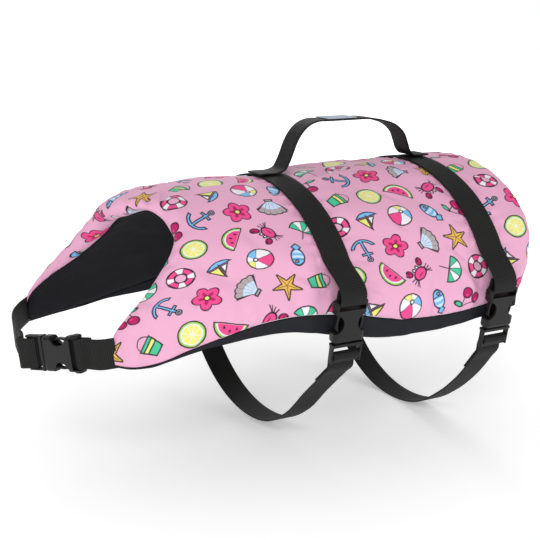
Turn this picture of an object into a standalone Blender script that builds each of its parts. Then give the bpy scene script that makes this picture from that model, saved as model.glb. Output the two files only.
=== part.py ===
"""A dog flotation vest, filled out as it is worn but with nobody in it.

The foam-filled shell goes over the back and down both sides, and ends in two chest flaps.
Two webbing straps cross the back, carry the grab handle and close under the belly with
side-release buckles. A third strap and buckle join the two flaps in front of the chest.

X runs from the neck (-) to the tail (+), Y from the buckle side (-) to the other side (+),
Z is up. The origin is on the inside of the lining, under the front strap, where the vest
lies on the wearer's back. Lengths are in metres.
"""
import bpy
import bmesh
import numpy as np
from math import pi

FOAM = 0.018            # thickness of the foam wall
FOAM_AT_HEM = 0.010
FOAM_AT_TIP = 0.006
RIM = 0.009             # distance over which a rounded rim grows to full thickness
LINING = 0.001
SEAM = 0.0003           # gap between pieces that are sewn together
STRAP_LIFT = 0.0006     # gap under a strap that lies on the foam
BACK = FOAM + SEAM + LINING     # height of the outer back line over the origin
CINCH = 0.002           # how far a strap sinks into the foam
CINCH_REACH = 0.022     # and how far from its middle the hollow ends
HEM_THINS = 0.25        # share of the way up from the hem over which the foam thins
TIP = {"x": -0.10, "length": 0.08, "share": 0.45, "rise": 0.40}    # where the chest flaps thin
# Where the foam thins towards the near side of the neck, and how thin it gets.
CROWN = {"x": -0.105, "length": 0.03, "share": 0.16, "spread": 0.12, "foam": 0.008}
HEM_RIM = 0.06          # share of the way up over which the hem rounds
RIM_STEPS = 5           # grid lines in a rounded end, and in the hem below
HEM_STEPS = 4
SIDE_ROWS = 15          # grid lines from the hem rim to the back line
SPANS = (6, 6, 2)       # grid steps before, between and behind the two straps

WEB_WIDTH = 0.025
WEB = 0.0016            # webbing thickness
STRAP_X = (0.0, 0.157)  # where the two straps cross the back line
# How far each strap wanders along X on its way down.
STRAP_RUN = {
    "down":  (0.0, 0.035, 0.070, 0.100, 0.130),
    "front": (0.0, 0.002, 0.003, 0.0005, -0.001),
    "rear":  (0.0, 0.002, 0.003, 0.0005, -0.001),
}
STRAPS = ("front", "rear")

# Sections of the outer surface. rise is the height of the back line over that at x = 0.
SECTIONS = {
    "x":     (-0.210, -0.150, -0.120, -0.080, -0.030, 0.000, 0.080, 0.157, 0.190, 0.218),
    "width": (0.104, 0.106, 0.113, 0.124, 0.1325, 0.134, 0.136, 0.1360, 0.1360, 0.1355),
    "depth": (0.130, 0.130, 0.128, 0.124, 0.120, 0.118, 0.118, 0.117, 0.104, 0.092),
    "rise":  (-0.0215, -0.0122, -0.0058, -0.0024, -0.0005, 0.0, 0.0030, 0.0066, 0.0056, 0.0070),
}
# Height of the shell's hem on each side, measured from the back line at x = 0.
HEMS = {
    "x":    (-0.210, -0.190, -0.175, -0.160, -0.123, -0.070,
             -0.047, 0.013, 0.056, 0.136, 0.190, 0.218),
    "near": (-0.1150, -0.1222, -0.1268, -0.1272, -0.116, -0.100,
             -0.097, -0.102, -0.111, -0.113, -0.106, -0.102),
    "far":  (-0.1380, -0.1350, -0.1325, -0.1302, -0.124, -0.117,
             -0.113, -0.112, -0.114, -0.113, -0.106, -0.102),
}
# Ends of the shell, by the share of the way from the back line (0) to the hem (1).
ENDS = {
    "share": (0.0, 0.08, 0.16, 0.25, 0.35, 0.44, 0.52,
              0.60, 0.69, 0.78, 0.86, 0.94, 1.0),
    "near":  (-0.1490, -0.1420, -0.1315, -0.1240, -0.1220, -0.1225, -0.1295,
              -0.1415, -0.1575, -0.1750, -0.1865, -0.1895, -0.1885),
    "far":   (-0.1490, -0.1520, -0.1525, -0.1530, -0.1545, -0.1570, -0.1625,
              -0.1700, -0.1820, -0.1945, -0.2030, -0.2055, -0.2050),
    "rear":  (0.2160, 0.2159, 0.2157, 0.2152, 0.2145, 0.2135, 0.2123,
              0.2110, 0.2080, 0.2030, 0.1980, 0.1910, 0.1870),
}
# Nylon strip below the foam: how far it hangs.
BANDS = {
    "x":    (-0.210, -0.160, -0.120, -0.085, -0.048, 0.020, 0.080, 0.140, 0.218),
    "drop": (0.0012, 0.0015, 0.004, 0.009, 0.0135, 0.0200, 0.0145, 0.0125, 0.0115),
}
BAND = 0.002
BAND_TUCK = 0.12        # slope of the strip in towards the belly

# Grab handle: side view of the middle of its webbing, as height over the back line.
HANDLE_TOP = 0.0470
HANDLE_PATH = {
    "x": (-0.0080, 0.0040, 0.0110, 0.0150, 0.0185, 0.0230, 0.0290, 0.0370, 0.0470, 0.0560,
          0.0880, 0.0970, 0.1180, 0.1330, 0.1415, 0.1460, 0.1490, 0.1530, 0.1610, 0.1710),
    "z": (0.0022, 0.0022, 0.0045, 0.0105, 0.0180, 0.0285, 0.0375, 0.0440, HANDLE_TOP, HANDLE_TOP,
          HANDLE_TOP, HANDLE_TOP, 0.0440, 0.0385, 0.0310, 0.0210, 0.0140, 0.0104, 0.0095, 0.0095),
}
PATCH = {"x": (0.0565, 0.0875), "width": 0.023, "thick": 0.0008}

# Belly straps in end view, from the far hem round below the belly to the near buckle.
BELLY = {
    "front": {
        "y": (0.1385, 0.1395, 0.1370, 0.1260, 0.0980, 0.0600, 0.0180, -0.0210, -0.0570, -0.0860),
        "z": (-0.0960, -0.1120, -0.1440, -0.1810, -0.2100, -0.2300, -0.2370, -0.2315, -0.2110, -0.1830),
    },
    "rear": {
        "y": (0.1395, 0.1395, 0.1340, 0.1180, 0.0880, 0.0450, 0.0050, -0.0350, -0.0720, -0.1000),
        "z": (-0.0960, -0.1120, -0.1480, -0.1860, -0.2180, -0.2390, -0.2440, -0.2370, -0.2150, -0.1900),
    },
}
BELLY_SHIFT = {"front": -0.015, "rear": 0.0}    # along X at the far hem

# Side-release buckle for the webbing: sizes along, across and through it.
FEMALE = {"length": 0.038, "width": 0.0295, "thick": 0.0105, "round": 0.0028}
LUG = {"length": 0.0075, "width": 0.0315, "thick": 0.0085, "round": 0.002}
MALE = {"length": 0.0185, "width": 0.0295, "thick": 0.0078, "round": 0.0022}
BAR = 0.0030            # bars that the webbing goes round: along the buckle
BAR_HEIGHT = 0.0026     # and through it
SLOT = 0.0045           # gap beside each bar
SLOT_WIDTH = 0.0257
MOUTH_GAP = 0.0008      # between the two halves when they are closed
POCKET = {"depth": 0.0267, "width": 0.0242, "height": 0.0055}
NOTCH = {"at": 0.0185, "radius": 0.0088, "off": 0.0155}     # side windows, from the webbing bar
ARM = {"radius": 0.0182, "off": -0.0060, "reach": 0.0083, "thick": 0.0020, "height": 0.0039}
TONGUE = {"length": 0.018, "width": 0.005, "root": 0.0012}
STAND_OFF = 0.0088      # height of a side buckle's middle over the shell
SIDE_BAR_Z = {"front": -0.0872, "rear": -0.0955}    # height of each side buckle's webbing bar
TUCK = 0.19             # slope of a side buckle in towards the belly
STRAP_START = 6         # row of the shell where a strap leaves the foam for its buckle
TAIL = 0.026            # free end of webbing behind a ladder

# Chest strap: route of the webbing's middle, from the near flap to the far one.
CHEST_NEAR = {"x": (-0.1920, -0.1985, -0.2062), "y": (-0.0985, -0.0925, -0.0812),
              "z": (-0.1135, -0.1150, -0.1165)}
CHEST_BAR = (-0.2089, -0.0765, -0.1172)
CHEST_END = (-0.2358, -0.0300, -0.1252)
CHEST_FAR = {"x": (-0.2380, -0.2375, -0.2335, -0.2265, -0.2185, -0.2071),
             "y": (-0.0180, 0.0060, 0.0310, 0.0540, 0.0730, 0.0995),
             "z": (-0.1258, -0.1250, -0.1240, -0.1240, -0.1245, -0.1265)}

SIDES = {"near": -1.0, "far": 1.0}


def material(name, colour, roughness):
    """A plain finish for one kind of cloth or plastic."""
    made = bpy.data.materials.new(name)
    made.use_nodes = True
    surface = made.node_tree.nodes["Principled BSDF"]
    surface.inputs["Base Color"].default_value = (*colour, 1.0)
    surface.inputs["Roughness"].default_value = roughness
    surface.inputs["Metallic"].default_value = 0.0
    made.diffuse_color = (*colour, 1.0)
    return made


def smooth(table, key, column, at):
    """Read a column of a table at any place, as a cubic curve through its rows."""
    k = np.array(table[key])
    c = np.array(table[column])
    slope = np.gradient(c, k)
    at = np.clip(np.asarray(at, dtype=float), k[0], k[-1])
    row = np.clip(np.searchsorted(k, at) - 1, 0, len(k) - 2)
    step = k[row + 1] - k[row]
    t = (at - k[row]) / step
    return ((2 * t**3 - 3 * t**2 + 1) * c[row] + (t**3 - 2 * t**2 + t) * step * slope[row]
            + (3 * t**2 - 2 * t**3) * c[row + 1] + (t**3 - t**2) * step * slope[row + 1])


def unit(v):
    """Vectors of length one, along the last axis."""
    return v / np.maximum(np.linalg.norm(v, axis=-1, keepdims=True), 1e-12)


def hem_turn(x, side):
    """Angle from the back line to the hem, in the section at x."""
    drop = smooth(SECTIONS, "x", "rise", x) - smooth(HEMS, "x", side, x)
    return np.arccos(1 - drop / smooth(SECTIONS, "x", "depth", x))


def outer(x, share, side):
    """Point of the outer surface: half an ellipse, turned down from the back line."""
    turn = share * hem_turn(x, side)
    rise = BACK + smooth(SECTIONS, "x", "rise", x)
    across = SIDES[side] * smooth(SECTIONS, "x", "width", x) * np.sin(turn)
    z = rise - smooth(SECTIONS, "x", "depth", x) * (1 - np.cos(turn))
    sink = sum(CINCH * np.exp(-((x - strap_x(strap, z)) / CINCH_REACH) ** 4) for strap in STRAPS)
    away = np.stack([np.zeros_like(x), SIDES[side] * np.sin(turn), np.cos(turn)], -1)
    return np.stack([x, across, z], -1) - away * sink[..., None]


def strap_x(strap, z):
    """Where the middle of a strap is along X at height z."""
    return STRAP_X[STRAPS.index(strap)] + smooth(STRAP_RUN, "down", strap, BACK - z)


def columns(share, side):
    """X of every column of the shell's grid, from the front rim to the rear rim."""
    z = outer(np.zeros_like(share), share, side)[..., 2]
    front = smooth(ENDS, "share", side, share)
    rear = smooth(ENDS, "share", "rear", share)
    rim = RIM * (1 - np.cos(np.linspace(0, pi / 2, RIM_STEPS)))
    edges = [strap_x(strap, z) + s * WEB_WIDTH / 2 for strap in STRAPS for s in (-1, 1)]
    spans = ((front + RIM, edges[0]), (edges[1], edges[2]), (edges[3], rear - RIM))
    lines = [front + r for r in rim[:-1]]
    for (start, end), count in zip(spans, SPANS):
        lines += [start + (end - start) * k / count for k in range(count + 1)]
    lines += [rear - r for r in rim[-2::-1]]
    return np.stack(lines, 0)


def shell_grids():
    """Outer, middle and inner points of the shell, as grids of columns by rows."""
    hem_rim = HEM_RIM * (1 - np.cos(np.linspace(0, pi / 2, HEM_STEPS)))
    shares = np.concatenate([hem_rim[:-1], np.linspace(hem_rim[-1], 1, SIDE_ROWS)])
    parts = []
    for side in ("near", "far"):
        share = 1 - shares
        x = columns(share, side)
        share = np.broadcast_to(share, x.shape)
        step = 1e-4
        point = outer(x, share, side)
        along = outer(x + step, share, side) - outer(x - step, share, side)
        inner_share = np.clip(share, 2 * step, None)
        down = outer(x, inner_share + step, side) - outer(x, inner_share - step, side)
        normal = unit(np.cross(along, down)) * SIDES[side]
        hem = np.clip(np.arange(len(shares)) / (HEM_STEPS - 1), 0, 1)
        wall = FOAM_AT_HEM + (FOAM - FOAM_AT_HEM) * np.clip((1 - share) / HEM_THINS, 0, 1)
        tip = np.clip((TIP["x"] - x) / TIP["length"], 0, 1)
        tip = tip * np.clip((share - TIP["share"]) / TIP["rise"], 0, 1)
        wall = wall + (FOAM_AT_TIP - wall) * tip
        wall = wall + (CROWN["foam"] - wall) * crown_thinning(x, -SIDES[side] * share)
        full = np.sin(np.pi / 2 * hem)[None, :] * end_growth(x.shape[0])[:, None]
        parts.append((point, normal, wall, full))
    near, far = parts
    joined = [np.concatenate([a, b[:, -2::-1]], axis=1) for a, b in zip(near, far)]
    point, normal, wall, full = joined
    middle = point - normal * wall[..., None] / 2
    reach = normal * (wall * full)[..., None] / 2
    return {"outer": middle + reach, "middle": middle, "inner": middle - reach, "normal": normal}


def crown_thinning(x, share):
    """How far the foam has thinned: a ramp towards the neck times a bell round the near crown."""
    ramp = np.clip((CROWN["x"] - x) / CROWN["length"], 0, 1)
    return ramp * np.exp(-((share - CROWN["share"]) / CROWN["spread"]) ** 2)


def end_growth(count):
    """Share of the wall's thickness that each column has: a round rim at both ends."""
    rim = np.sin(np.linspace(0, pi / 2, RIM_STEPS))
    full = np.ones(count)
    full[:RIM_STEPS] = rim
    full[-RIM_STEPS:] = rim[::-1]
    return full


def add_object(name, points, faces, finish, smooth_faces=True):
    """Put a closed mesh in the scene, with its faces pointing out."""
    mesh = bpy.data.meshes.new(name)
    mesh.from_pydata([tuple(p) for p in points], [], faces)
    shape = bmesh.new()
    shape.from_mesh(mesh)
    bmesh.ops.remove_doubles(shape, verts=shape.verts, dist=1e-6)
    bmesh.ops.triangulate(shape, faces=shape.faces)
    bmesh.ops.recalc_face_normals(shape, faces=shape.faces)
    shape.to_mesh(mesh)
    shape.free()
    if finish:
        mesh.materials.append(finish)
    if smooth_faces:
        mesh.shade_smooth()
    made = bpy.data.objects.new(name, mesh)
    bpy.context.collection.objects.link(made)
    return made


def slab(name, top, bottom, finish):
    """Close two grids of points that face each other, with walls round their borders."""
    rows, cols = top.shape[:2]
    index = np.arange(rows * cols).reshape(rows, cols)
    under = index + rows * cols
    faces = []
    for i in range(rows - 1):
        for j in range(cols - 1):
            faces.append((index[i, j], index[i + 1, j], index[i + 1, j + 1], index[i, j + 1]))
            faces.append((under[i, j], under[i, j + 1], under[i + 1, j + 1], under[i + 1, j]))
    border = [(i, 0) for i in range(rows)] + [(rows - 1, j) for j in range(1, cols)]
    border += [(i, cols - 1) for i in range(rows - 2, -1, -1)] + [(0, j) for j in range(cols - 2, 0, -1)]
    for k, here in enumerate(border):
        there = border[(k + 1) % len(border)]
        faces.append((index[there], index[here], under[here], under[there]))
    points = np.concatenate([top.reshape(-1, 3), bottom.reshape(-1, 3)])
    return add_object(name, points, faces, finish)


def shell(grids, finish):
    """The printed nylon cover with its foam: both faces meet along the rims."""
    rows, cols = grids["outer"].shape[:2]
    index = np.arange(rows * cols).reshape(rows, cols)
    under = index + rows * cols
    faces = []
    for i in range(rows - 1):
        for j in range(cols - 1):
            faces.append((index[i, j], index[i + 1, j], index[i + 1, j + 1], index[i, j + 1]))
            faces.append((under[i, j], under[i, j + 1], under[i + 1, j + 1], under[i + 1, j]))
    points = np.concatenate([grids["outer"].reshape(-1, 3), grids["inner"].reshape(-1, 3)])
    return add_object("outer_shell", points, faces, finish)


def grid_normals(points):
    """Unit normals of a grid of points, from the differences between neighbours."""
    return unit(np.cross(np.gradient(points, axis=0), np.gradient(points, axis=1)))


def lining(grids, finish):
    """Thin dark cloth on the inside of the shell, from its own points."""
    inside = (slice(RIM_STEPS - 1, 1 - RIM_STEPS), slice(1, -1))
    cloth = grids["inner"][inside]
    normal = grid_normals(cloth)
    inward = -np.sign(np.sum(normal * grids["normal"][inside], axis=-1, keepdims=True)) * normal
    return slab("lining", cloth + inward * SEAM, cloth + inward * (SEAM + LINING), finish)


def hem_band(side, grids, finish):
    """Flat nylon strip that hangs from the hem's middle line."""
    row = 0 if side == "near" else -1
    line = grids["middle"][:, row]
    down = unit(np.array([0.0, -SIDES[side] * BAND_TUCK, -1.0]))
    normal = unit(np.array([0.0, SIDES[side], -BAND_TUCK]))
    drop = smooth(BANDS, "x", "drop", line[:, 0])[:, None]
    high = line + down * SEAM
    low = line + down * (SEAM + drop)
    top = np.stack([high + normal * BAND / 2, low + normal * BAND / 2], 1)
    bottom = np.stack([high - normal * BAND / 2, low - normal * BAND / 2], 1)
    return slab("hem_band_" + side, top, bottom, finish)


def webbing(name, centres, across, finish, width=WEB_WIDTH, thick=WEB):
    """A flat strap along a route of middle points; across gives its width direction."""
    centres = np.array(centres)
    across = np.broadcast_to(unit(np.array(across)), centres.shape)
    tangent = unit(np.gradient(centres, axis=0))
    normal = unit(np.cross(tangent, across))
    across = unit(np.cross(normal, tangent))
    edges = [centres + across * width / 2 * s for s in (-1, 1)]
    top = np.stack([e + normal * thick / 2 for e in edges], 1)
    bottom = np.stack([e - normal * thick / 2 for e in edges], 1)
    return slab(name, top, bottom, finish)


def curve_through(table, keys, count):
    """Points spread evenly along a smooth curve through a table's rows."""
    rows = {key: np.array(table[key]) for key in keys}
    steps = np.sqrt(sum(np.diff(rows[key]) ** 2 for key in keys))
    rows["run"] = np.concatenate([[0], np.cumsum(steps)])
    at = np.linspace(0, rows["run"][-1], count)
    return np.stack([smooth(rows, "run", key, at) for key in keys], -1)


def arc(centre, radius, start, end, steps):
    """Points on a circle, from one angle to another, in the plane of the strap's side."""
    turn = np.linspace(start, end, steps)
    return np.stack([centre[0] + radius * np.cos(turn), centre[1] + radius * np.sin(turn)], -1)


def lay_out(flat, start, along, up):
    """Turn a route in (along, up) measures into points in space."""
    flat = np.array(flat)
    return start + flat[:, :1] * along + flat[:, 1:] * up


def buckle_frame(bar, end, outward):
    """Axes of a buckle that runs from its webbing bar to its far end."""
    along = unit(np.array(end) - np.array(bar))
    across = unit(np.cross(along, np.array(outward)))
    up = np.cross(across, along)
    return np.array(bar), along, across, up


# Bend of the webbing round a bar, clear of the bar's corners.
TURN_RADIUS = np.hypot(BAR, BAR_HEIGHT) / 2 + 2 * SEAM + WEB / 2


def fixed_loop(lead, tail):
    """Side view of webbing that comes from lead before the bar, goes round it and back."""
    bend = arc((0, 0), TURN_RADIUS, pi / 2, -pi / 2, 9)
    return np.concatenate([[(-lead, TURN_RADIUS)], bend, [(-tail, -TURN_RADIUS)]])


def cutter(name, size, place):
    """A plain block that is cut out of a buckle half and then taken away."""
    bpy.ops.mesh.primitive_cube_add(size=1, location=place)
    block = bpy.context.object
    block.name = name
    block.scale = size
    bpy.ops.object.transform_apply(location=False, rotation=False, scale=True)
    return block


def rounded_block(name, size, place, radius):
    """A block with all its edges rounded."""
    block = cutter(name, size, place)
    rounding = block.modifiers.new("round", "BEVEL")
    rounding.width = radius
    rounding.segments = 2
    rounding.limit_method = "NONE"
    apply_modifiers(block)
    return block


def apply_modifiers(block):
    """Fix an object's modifiers in its mesh."""
    bpy.context.view_layer.objects.active = block
    block.select_set(True)
    for modifier in list(block.modifiers):
        bpy.ops.object.modifier_apply(modifier=modifier.name)
    block.select_set(False)


def combine(block, tools, operation):
    """Unite a block with other solids, or cut them out of it, and remove them."""
    for tool in tools:
        step = block.modifiers.new("step", "BOOLEAN")
        step.operation = operation
        step.object = tool
        apply_modifiers(block)
        bpy.data.objects.remove(tool, do_unlink=True)


def female_half(name):
    """Buckle half with a pocket, side windows and one bar for the sewn webbing."""
    length, width, thick = FEMALE["length"], FEMALE["width"], FEMALE["thick"]
    start = -BAR / 2
    mouth = start + length
    body = rounded_block(name, (length, width, thick), (start + length / 2, 0, 0), FEMALE["round"])
    lug = rounded_block("lug", (LUG["length"], LUG["width"], LUG["thick"]),
                        (start + LUG["length"] / 2, 0, 0), LUG["round"])
    combine(body, [lug], "UNION")
    pocket = cutter("pocket", (2 * POCKET["depth"], POCKET["width"], POCKET["height"]), (mouth, 0, 0))
    slot = cutter("slot", (SLOT, SLOT_WIDTH, 2 * thick), (BAR / 2 + SLOT / 2, 0, 0))
    windows = [round_cutter("window", NOTCH["radius"], 2 * thick, (NOTCH["at"], side * NOTCH["off"], 0))
               for side in (-1, 1)]
    recess = bar_recess(-SLOT, BAR / 2 + SLOT, thick)
    combine(body, [pocket, slot] + windows + recess, "DIFFERENCE")
    return body


def bar_recess(start, end, thick):
    """Cutters that thin the bars between two places, so that the webbing fits round them."""
    size = (end - start, SLOT_WIDTH, thick)
    off = (BAR_HEIGHT + thick) / 2
    return [cutter("recess", size, ((start + end) / 2, 0, side * off)) for side in (-1, 1)]


def round_cutter(name, radius, depth, place):
    """A plain cylinder along Z that is cut out of a buckle half and then taken away."""
    bpy.ops.mesh.primitive_cylinder_add(vertices=28, radius=radius, depth=depth, location=place)
    block = bpy.context.object
    block.name = name
    return block


def male_half(name):
    """Buckle half with a ladder of two bars and a tongue with two spring arms."""
    length, width, thick = MALE["length"], MALE["width"], MALE["thick"]
    start = -BAR / 2 + FEMALE["length"] + MOUTH_GAP
    frame = rounded_block(name, (length, width, thick), (start + length / 2, 0, 0), MALE["round"])
    root = start + TONGUE["root"]
    tongue = cutter("tongue", (TONGUE["length"], TONGUE["width"], ARM["height"]),
                    (root - TONGUE["length"] / 2, 0, 0))
    turn = np.linspace(-1, 1, 9) * np.arcsin(ARM["reach"] / ARM["radius"])
    arms = []
    for side in (-1, 1):
        bow = np.stack([NOTCH["at"] + ARM["radius"] * np.sin(turn),
                        side * (ARM["off"] + ARM["radius"] * np.cos(turn)), 0 * turn], -1)
        stem = [(root, bow[-1][1], 0.0)]
        arms.append(webbing("arm", np.concatenate([bow, stem]), (0.0, 0.0, 1.0), None,
                            ARM["height"], ARM["thick"]))
    combine(frame, [tongue] + arms, "UNION")
    first, last = ladder_bars()
    slots = [cutter("slot", (SLOT, SLOT_WIDTH, 2 * thick), (at - BAR / 2 - SLOT / 2, 0, 0))
             for at in (first, last)]
    recess = bar_recess(first - BAR / 2 - SLOT, last + SLOT, thick)
    combine(frame, slots + recess, "DIFFERENCE")
    return frame


def ladder_bars():
    """Places of the male half's two bars along the buckle."""
    end = -BAR / 2 + FEMALE["length"] + MOUTH_GAP + MALE["length"]
    last = end - BAR / 2
    return last - BAR - SLOT, last


def place(block, frame, finish):
    """Turn a buckle half from its own axes to its place in the vest."""
    start, along, across, up = frame
    mesh = block.data
    points = np.empty(len(mesh.vertices) * 3)
    mesh.vertices.foreach_get("co", points)
    block_place = np.array(block.location)
    local = points.reshape(-1, 3) + block_place
    world = start + local[:, :1] * along + local[:, 1:2] * across + local[:, 2:] * up
    made = add_object(block.name + "_set", world, [tuple(p.vertices) for p in mesh.polygons], finish, False)
    name = block.name
    bpy.data.objects.remove(block, do_unlink=True)
    made.name = name
    return made


def ladder_route():
    """Side view of webbing that comes past the end bar, over the first bar and back behind it."""
    first, last = ladder_bars()
    lie = TURN_RADIUS
    lower = lie + WEB + SEAM
    enter = [(last + 0.008, -lie), (last + 0.0005, -lie), (last - 0.0030, -lie + 0.0010)]
    over = arc((first, 0), lie, 0.20 * pi, 1.0 * pi, 6)
    under = arc((first, 0), lie, 1.15 * pi, 1.40 * pi, 2)
    leave = [(first + 0.0030, -lower + 0.0004), (last + 0.001, -lower), (last + 0.008, -lower)]
    return np.concatenate([enter, over, under, leave])


def side_strap(strap, grids, finishes):
    """One strap over the back with its buckle and its belly strap."""
    column = RIM_STEPS - 1 + SPANS[0] + STRAPS.index(strap) * (SPANS[1] + 1)
    edges = grids["outer"][column], grids["outer"][column + 1]
    middle = (edges[0] + edges[1]) / 2
    normal = unit(np.cross(edges[1] - edges[0], np.gradient(middle, axis=0)))
    normal = normal * np.sign(np.sum(normal * grids["normal"][column], axis=-1, keepdims=True))
    over_back = (middle + normal * (STRAP_LIFT + WEB / 2))[STRAP_START:-3]
    wide = np.array([1.0, 0.0, 0.0])

    # The buckle hangs clear of the shell's widest line and tucks in towards the belly.
    bar = np.array([over_back[0][0], middle[:, 1].min() - STAND_OFF, BACK + SIDE_BAR_Z[strap]])
    along = unit(np.array([0.0, TUCK, -1.0]))
    frame = buckle_frame(bar, bar + along, (0.0, -1.0, 0.0))
    start, along, _, up = frame
    loop = lay_out(fixed_loop(0.004, 0.010), start, along, up)[::-1]
    lie = unit(edges[1] - edges[0])[STRAP_START:-3]
    lie = np.concatenate([np.broadcast_to(wide, loop.shape), lie])
    webbing("strap_" + strap, np.concatenate([loop, over_back]), lie, finishes["webbing"])
    place(female_half("buckle_%s_female" % strap), frame, finishes["plastic"])
    place(male_half("buckle_%s_male" % strap), frame, finishes["plastic"])

    ladder = lay_out(ladder_route(), start, along, up)
    rows = {"y": BELLY[strap]["y"] + (ladder[0][1],), "z": BELLY[strap]["z"] + (ladder[0][2] - BACK,)}
    belly = curve_through(rows, ("y", "z"), 28)[:-1]
    x = bar[0] + BELLY_SHIFT[strap] * np.linspace(1, 0, len(belly))
    belly = np.concatenate([x[:, None], belly + np.array([0.0, BACK])], 1)
    tail = inner_tail(np.concatenate([belly, ladder[:1]])[::-1], ladder[-1])
    webbing("belly_strap_" + strap, np.concatenate([belly, ladder, tail]), wide, finishes["webbing"])


def inner_tail(route, start):
    """Free end of webbing that follows a route at the distance at which it starts from it."""
    run = np.concatenate([[0], np.cumsum(np.linalg.norm(np.diff(route, axis=0), axis=1))])
    at = np.linspace(0, TAIL, 5)[1:]
    follow = np.stack([np.interp(at, run, route[:, k]) for k in range(3)], -1)
    return follow + (start - route[0])


def grab_handle(finishes):
    """Webbing handle from the front strap to the rear strap, with a plain patch on top."""
    centre = np.stack([HANDLE_PATH["x"], np.zeros(len(HANDLE_PATH["x"])), HANDLE_PATH["z"]], -1)
    centre = centre + np.array([0.0, 0.0, BACK])
    webbing("grab_handle", centre, (0.0, 1.0, 0.0), finishes["webbing"])
    flat = BACK + HANDLE_TOP + WEB / 2 + SEAM + PATCH["thick"] / 2
    ends = [(x, 0.0, flat) for x in np.linspace(*PATCH["x"], 3)]
    webbing("handle_patch", ends, (0.0, 1.0, 0.0), finishes["patch"], PATCH["width"], PATCH["thick"])


def turn_to(across, free, held):
    """Width directions of webbing that is upright at its start and lies true in its buckle."""
    across = across * np.sign(across[2])
    share = np.concatenate([np.linspace(0, 1, free), np.ones(held)])[:, None]
    return np.array([0.0, 0.0, 1.0]) * (1 - share) + across * share


def chest_strap(finishes):
    """The webbing and buckle that join the two flaps in front of the chest."""
    rise = np.array([0.0, 0.0, BACK])
    bar = np.array(CHEST_BAR) + rise
    end = np.array(CHEST_END) + rise
    outward = np.array([bar[1] - end[1], end[0] - bar[0], 0.0])
    frame = buckle_frame(bar, end, outward)
    start, along, across, up = frame
    near = curve_through(CHEST_NEAR, ("x", "y", "z"), 6) + rise
    loop = lay_out(fixed_loop(0.001, 0.010), start, along, up)
    webbing("chest_webbing_near", np.concatenate([near, loop]), turn_to(across, len(near), len(loop)),
            finishes["webbing"])
    place(female_half("buckle_chest_female"), frame, finishes["plastic"])
    place(male_half("buckle_chest_male"), frame, finishes["plastic"])
    ladder = lay_out(ladder_route() * np.array([1.0, -1.0]), start, along, up)
    rows = {key: (ladder[0][k] - rise[k],) + CHEST_FAR[key] for k, key in enumerate(("x", "y", "z"))}
    far = curve_through(rows, ("x", "y", "z"), 18)[1:][::-1] + rise
    tail = inner_tail(np.concatenate([ladder[:1], far[::-1]]), ladder[-1])
    wide = turn_to(across, len(far), len(ladder))
    wide = np.concatenate([wide, wide[len(far) - 1:len(far) - 1 - len(tail):-1]])
    webbing("chest_webbing_far", np.concatenate([far, ladder, tail]), wide, finishes["webbing"])


def build():
    """Make every piece of the vest."""
    for old in list(bpy.data.objects):
        bpy.data.objects.remove(old, do_unlink=True)
    finishes = {
        "print": material("printed_nylon", (0.83, 0.44, 0.62), 0.7),
        "lining": material("dark_lining", (0.020, 0.021, 0.027), 0.85),
        "band": material("hem_nylon", (0.022, 0.023, 0.029), 0.75),
        "webbing": material("black_webbing", (0.012, 0.012, 0.013), 0.7),
        "plastic": material("black_plastic", (0.010, 0.010, 0.011), 0.35),
        "patch": material("grey_patch", (0.42, 0.48, 0.56), 0.7),
    }
    grids = shell_grids()
    shell(grids, finishes["print"])
    lining(grids, finishes["lining"])
    for side in SIDES:
        hem_band(side, grids, finishes["band"])
    for strap in STRAPS:
        side_strap(strap, grids, finishes)
    grab_handle(finishes)
    chest_strap(finishes)


build()
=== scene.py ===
# %% [markdown]
# # A dog flotation vest in printed nylon, webbing and moulded plastic
# The vest is a wall of foam in a printed cover, filled out as if it were worn. The imported model
# gives the frame: every piece below is made in its place, in metres, and rides on that frame.
# We load it first, and keep its box: the floor is set under it, and the dressed vest's growth past it is
# printed at the end.

# %% Load the frame
import bpy
import numpy as np
from math import pi, radians
from mathutils import Matrix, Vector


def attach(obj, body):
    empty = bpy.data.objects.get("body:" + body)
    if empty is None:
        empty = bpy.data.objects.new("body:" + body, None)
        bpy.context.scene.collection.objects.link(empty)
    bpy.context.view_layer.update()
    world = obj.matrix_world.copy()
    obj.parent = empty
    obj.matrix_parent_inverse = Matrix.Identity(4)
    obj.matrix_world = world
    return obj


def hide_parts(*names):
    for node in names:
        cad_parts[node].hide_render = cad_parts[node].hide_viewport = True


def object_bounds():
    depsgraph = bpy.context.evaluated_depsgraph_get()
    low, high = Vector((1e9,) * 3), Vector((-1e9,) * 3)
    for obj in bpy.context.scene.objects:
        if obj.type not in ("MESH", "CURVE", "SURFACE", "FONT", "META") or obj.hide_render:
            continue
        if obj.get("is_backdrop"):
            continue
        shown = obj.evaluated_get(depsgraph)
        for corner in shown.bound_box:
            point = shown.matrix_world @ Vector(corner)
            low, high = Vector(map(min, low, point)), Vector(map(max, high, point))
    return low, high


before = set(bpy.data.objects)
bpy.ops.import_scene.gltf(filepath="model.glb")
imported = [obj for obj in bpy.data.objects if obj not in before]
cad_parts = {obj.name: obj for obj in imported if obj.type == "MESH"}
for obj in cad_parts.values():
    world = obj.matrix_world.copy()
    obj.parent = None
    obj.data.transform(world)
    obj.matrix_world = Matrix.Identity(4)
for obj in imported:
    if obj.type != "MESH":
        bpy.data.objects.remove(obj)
cad_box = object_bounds()
BODY = "root"
print("frame:", len(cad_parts), "nodes, box", np.round(cad_box, 4).tolist())

# %% [markdown]
# ## The camera
# The photograph was taken from a little above, in front of the buckle side. We place the camera
# by one point whose pixel we know: the top of the front strap on the back line. The focal length
# is known in pixels, so it turns into a lens for a 36 mm sensor by simple proportion.

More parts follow.
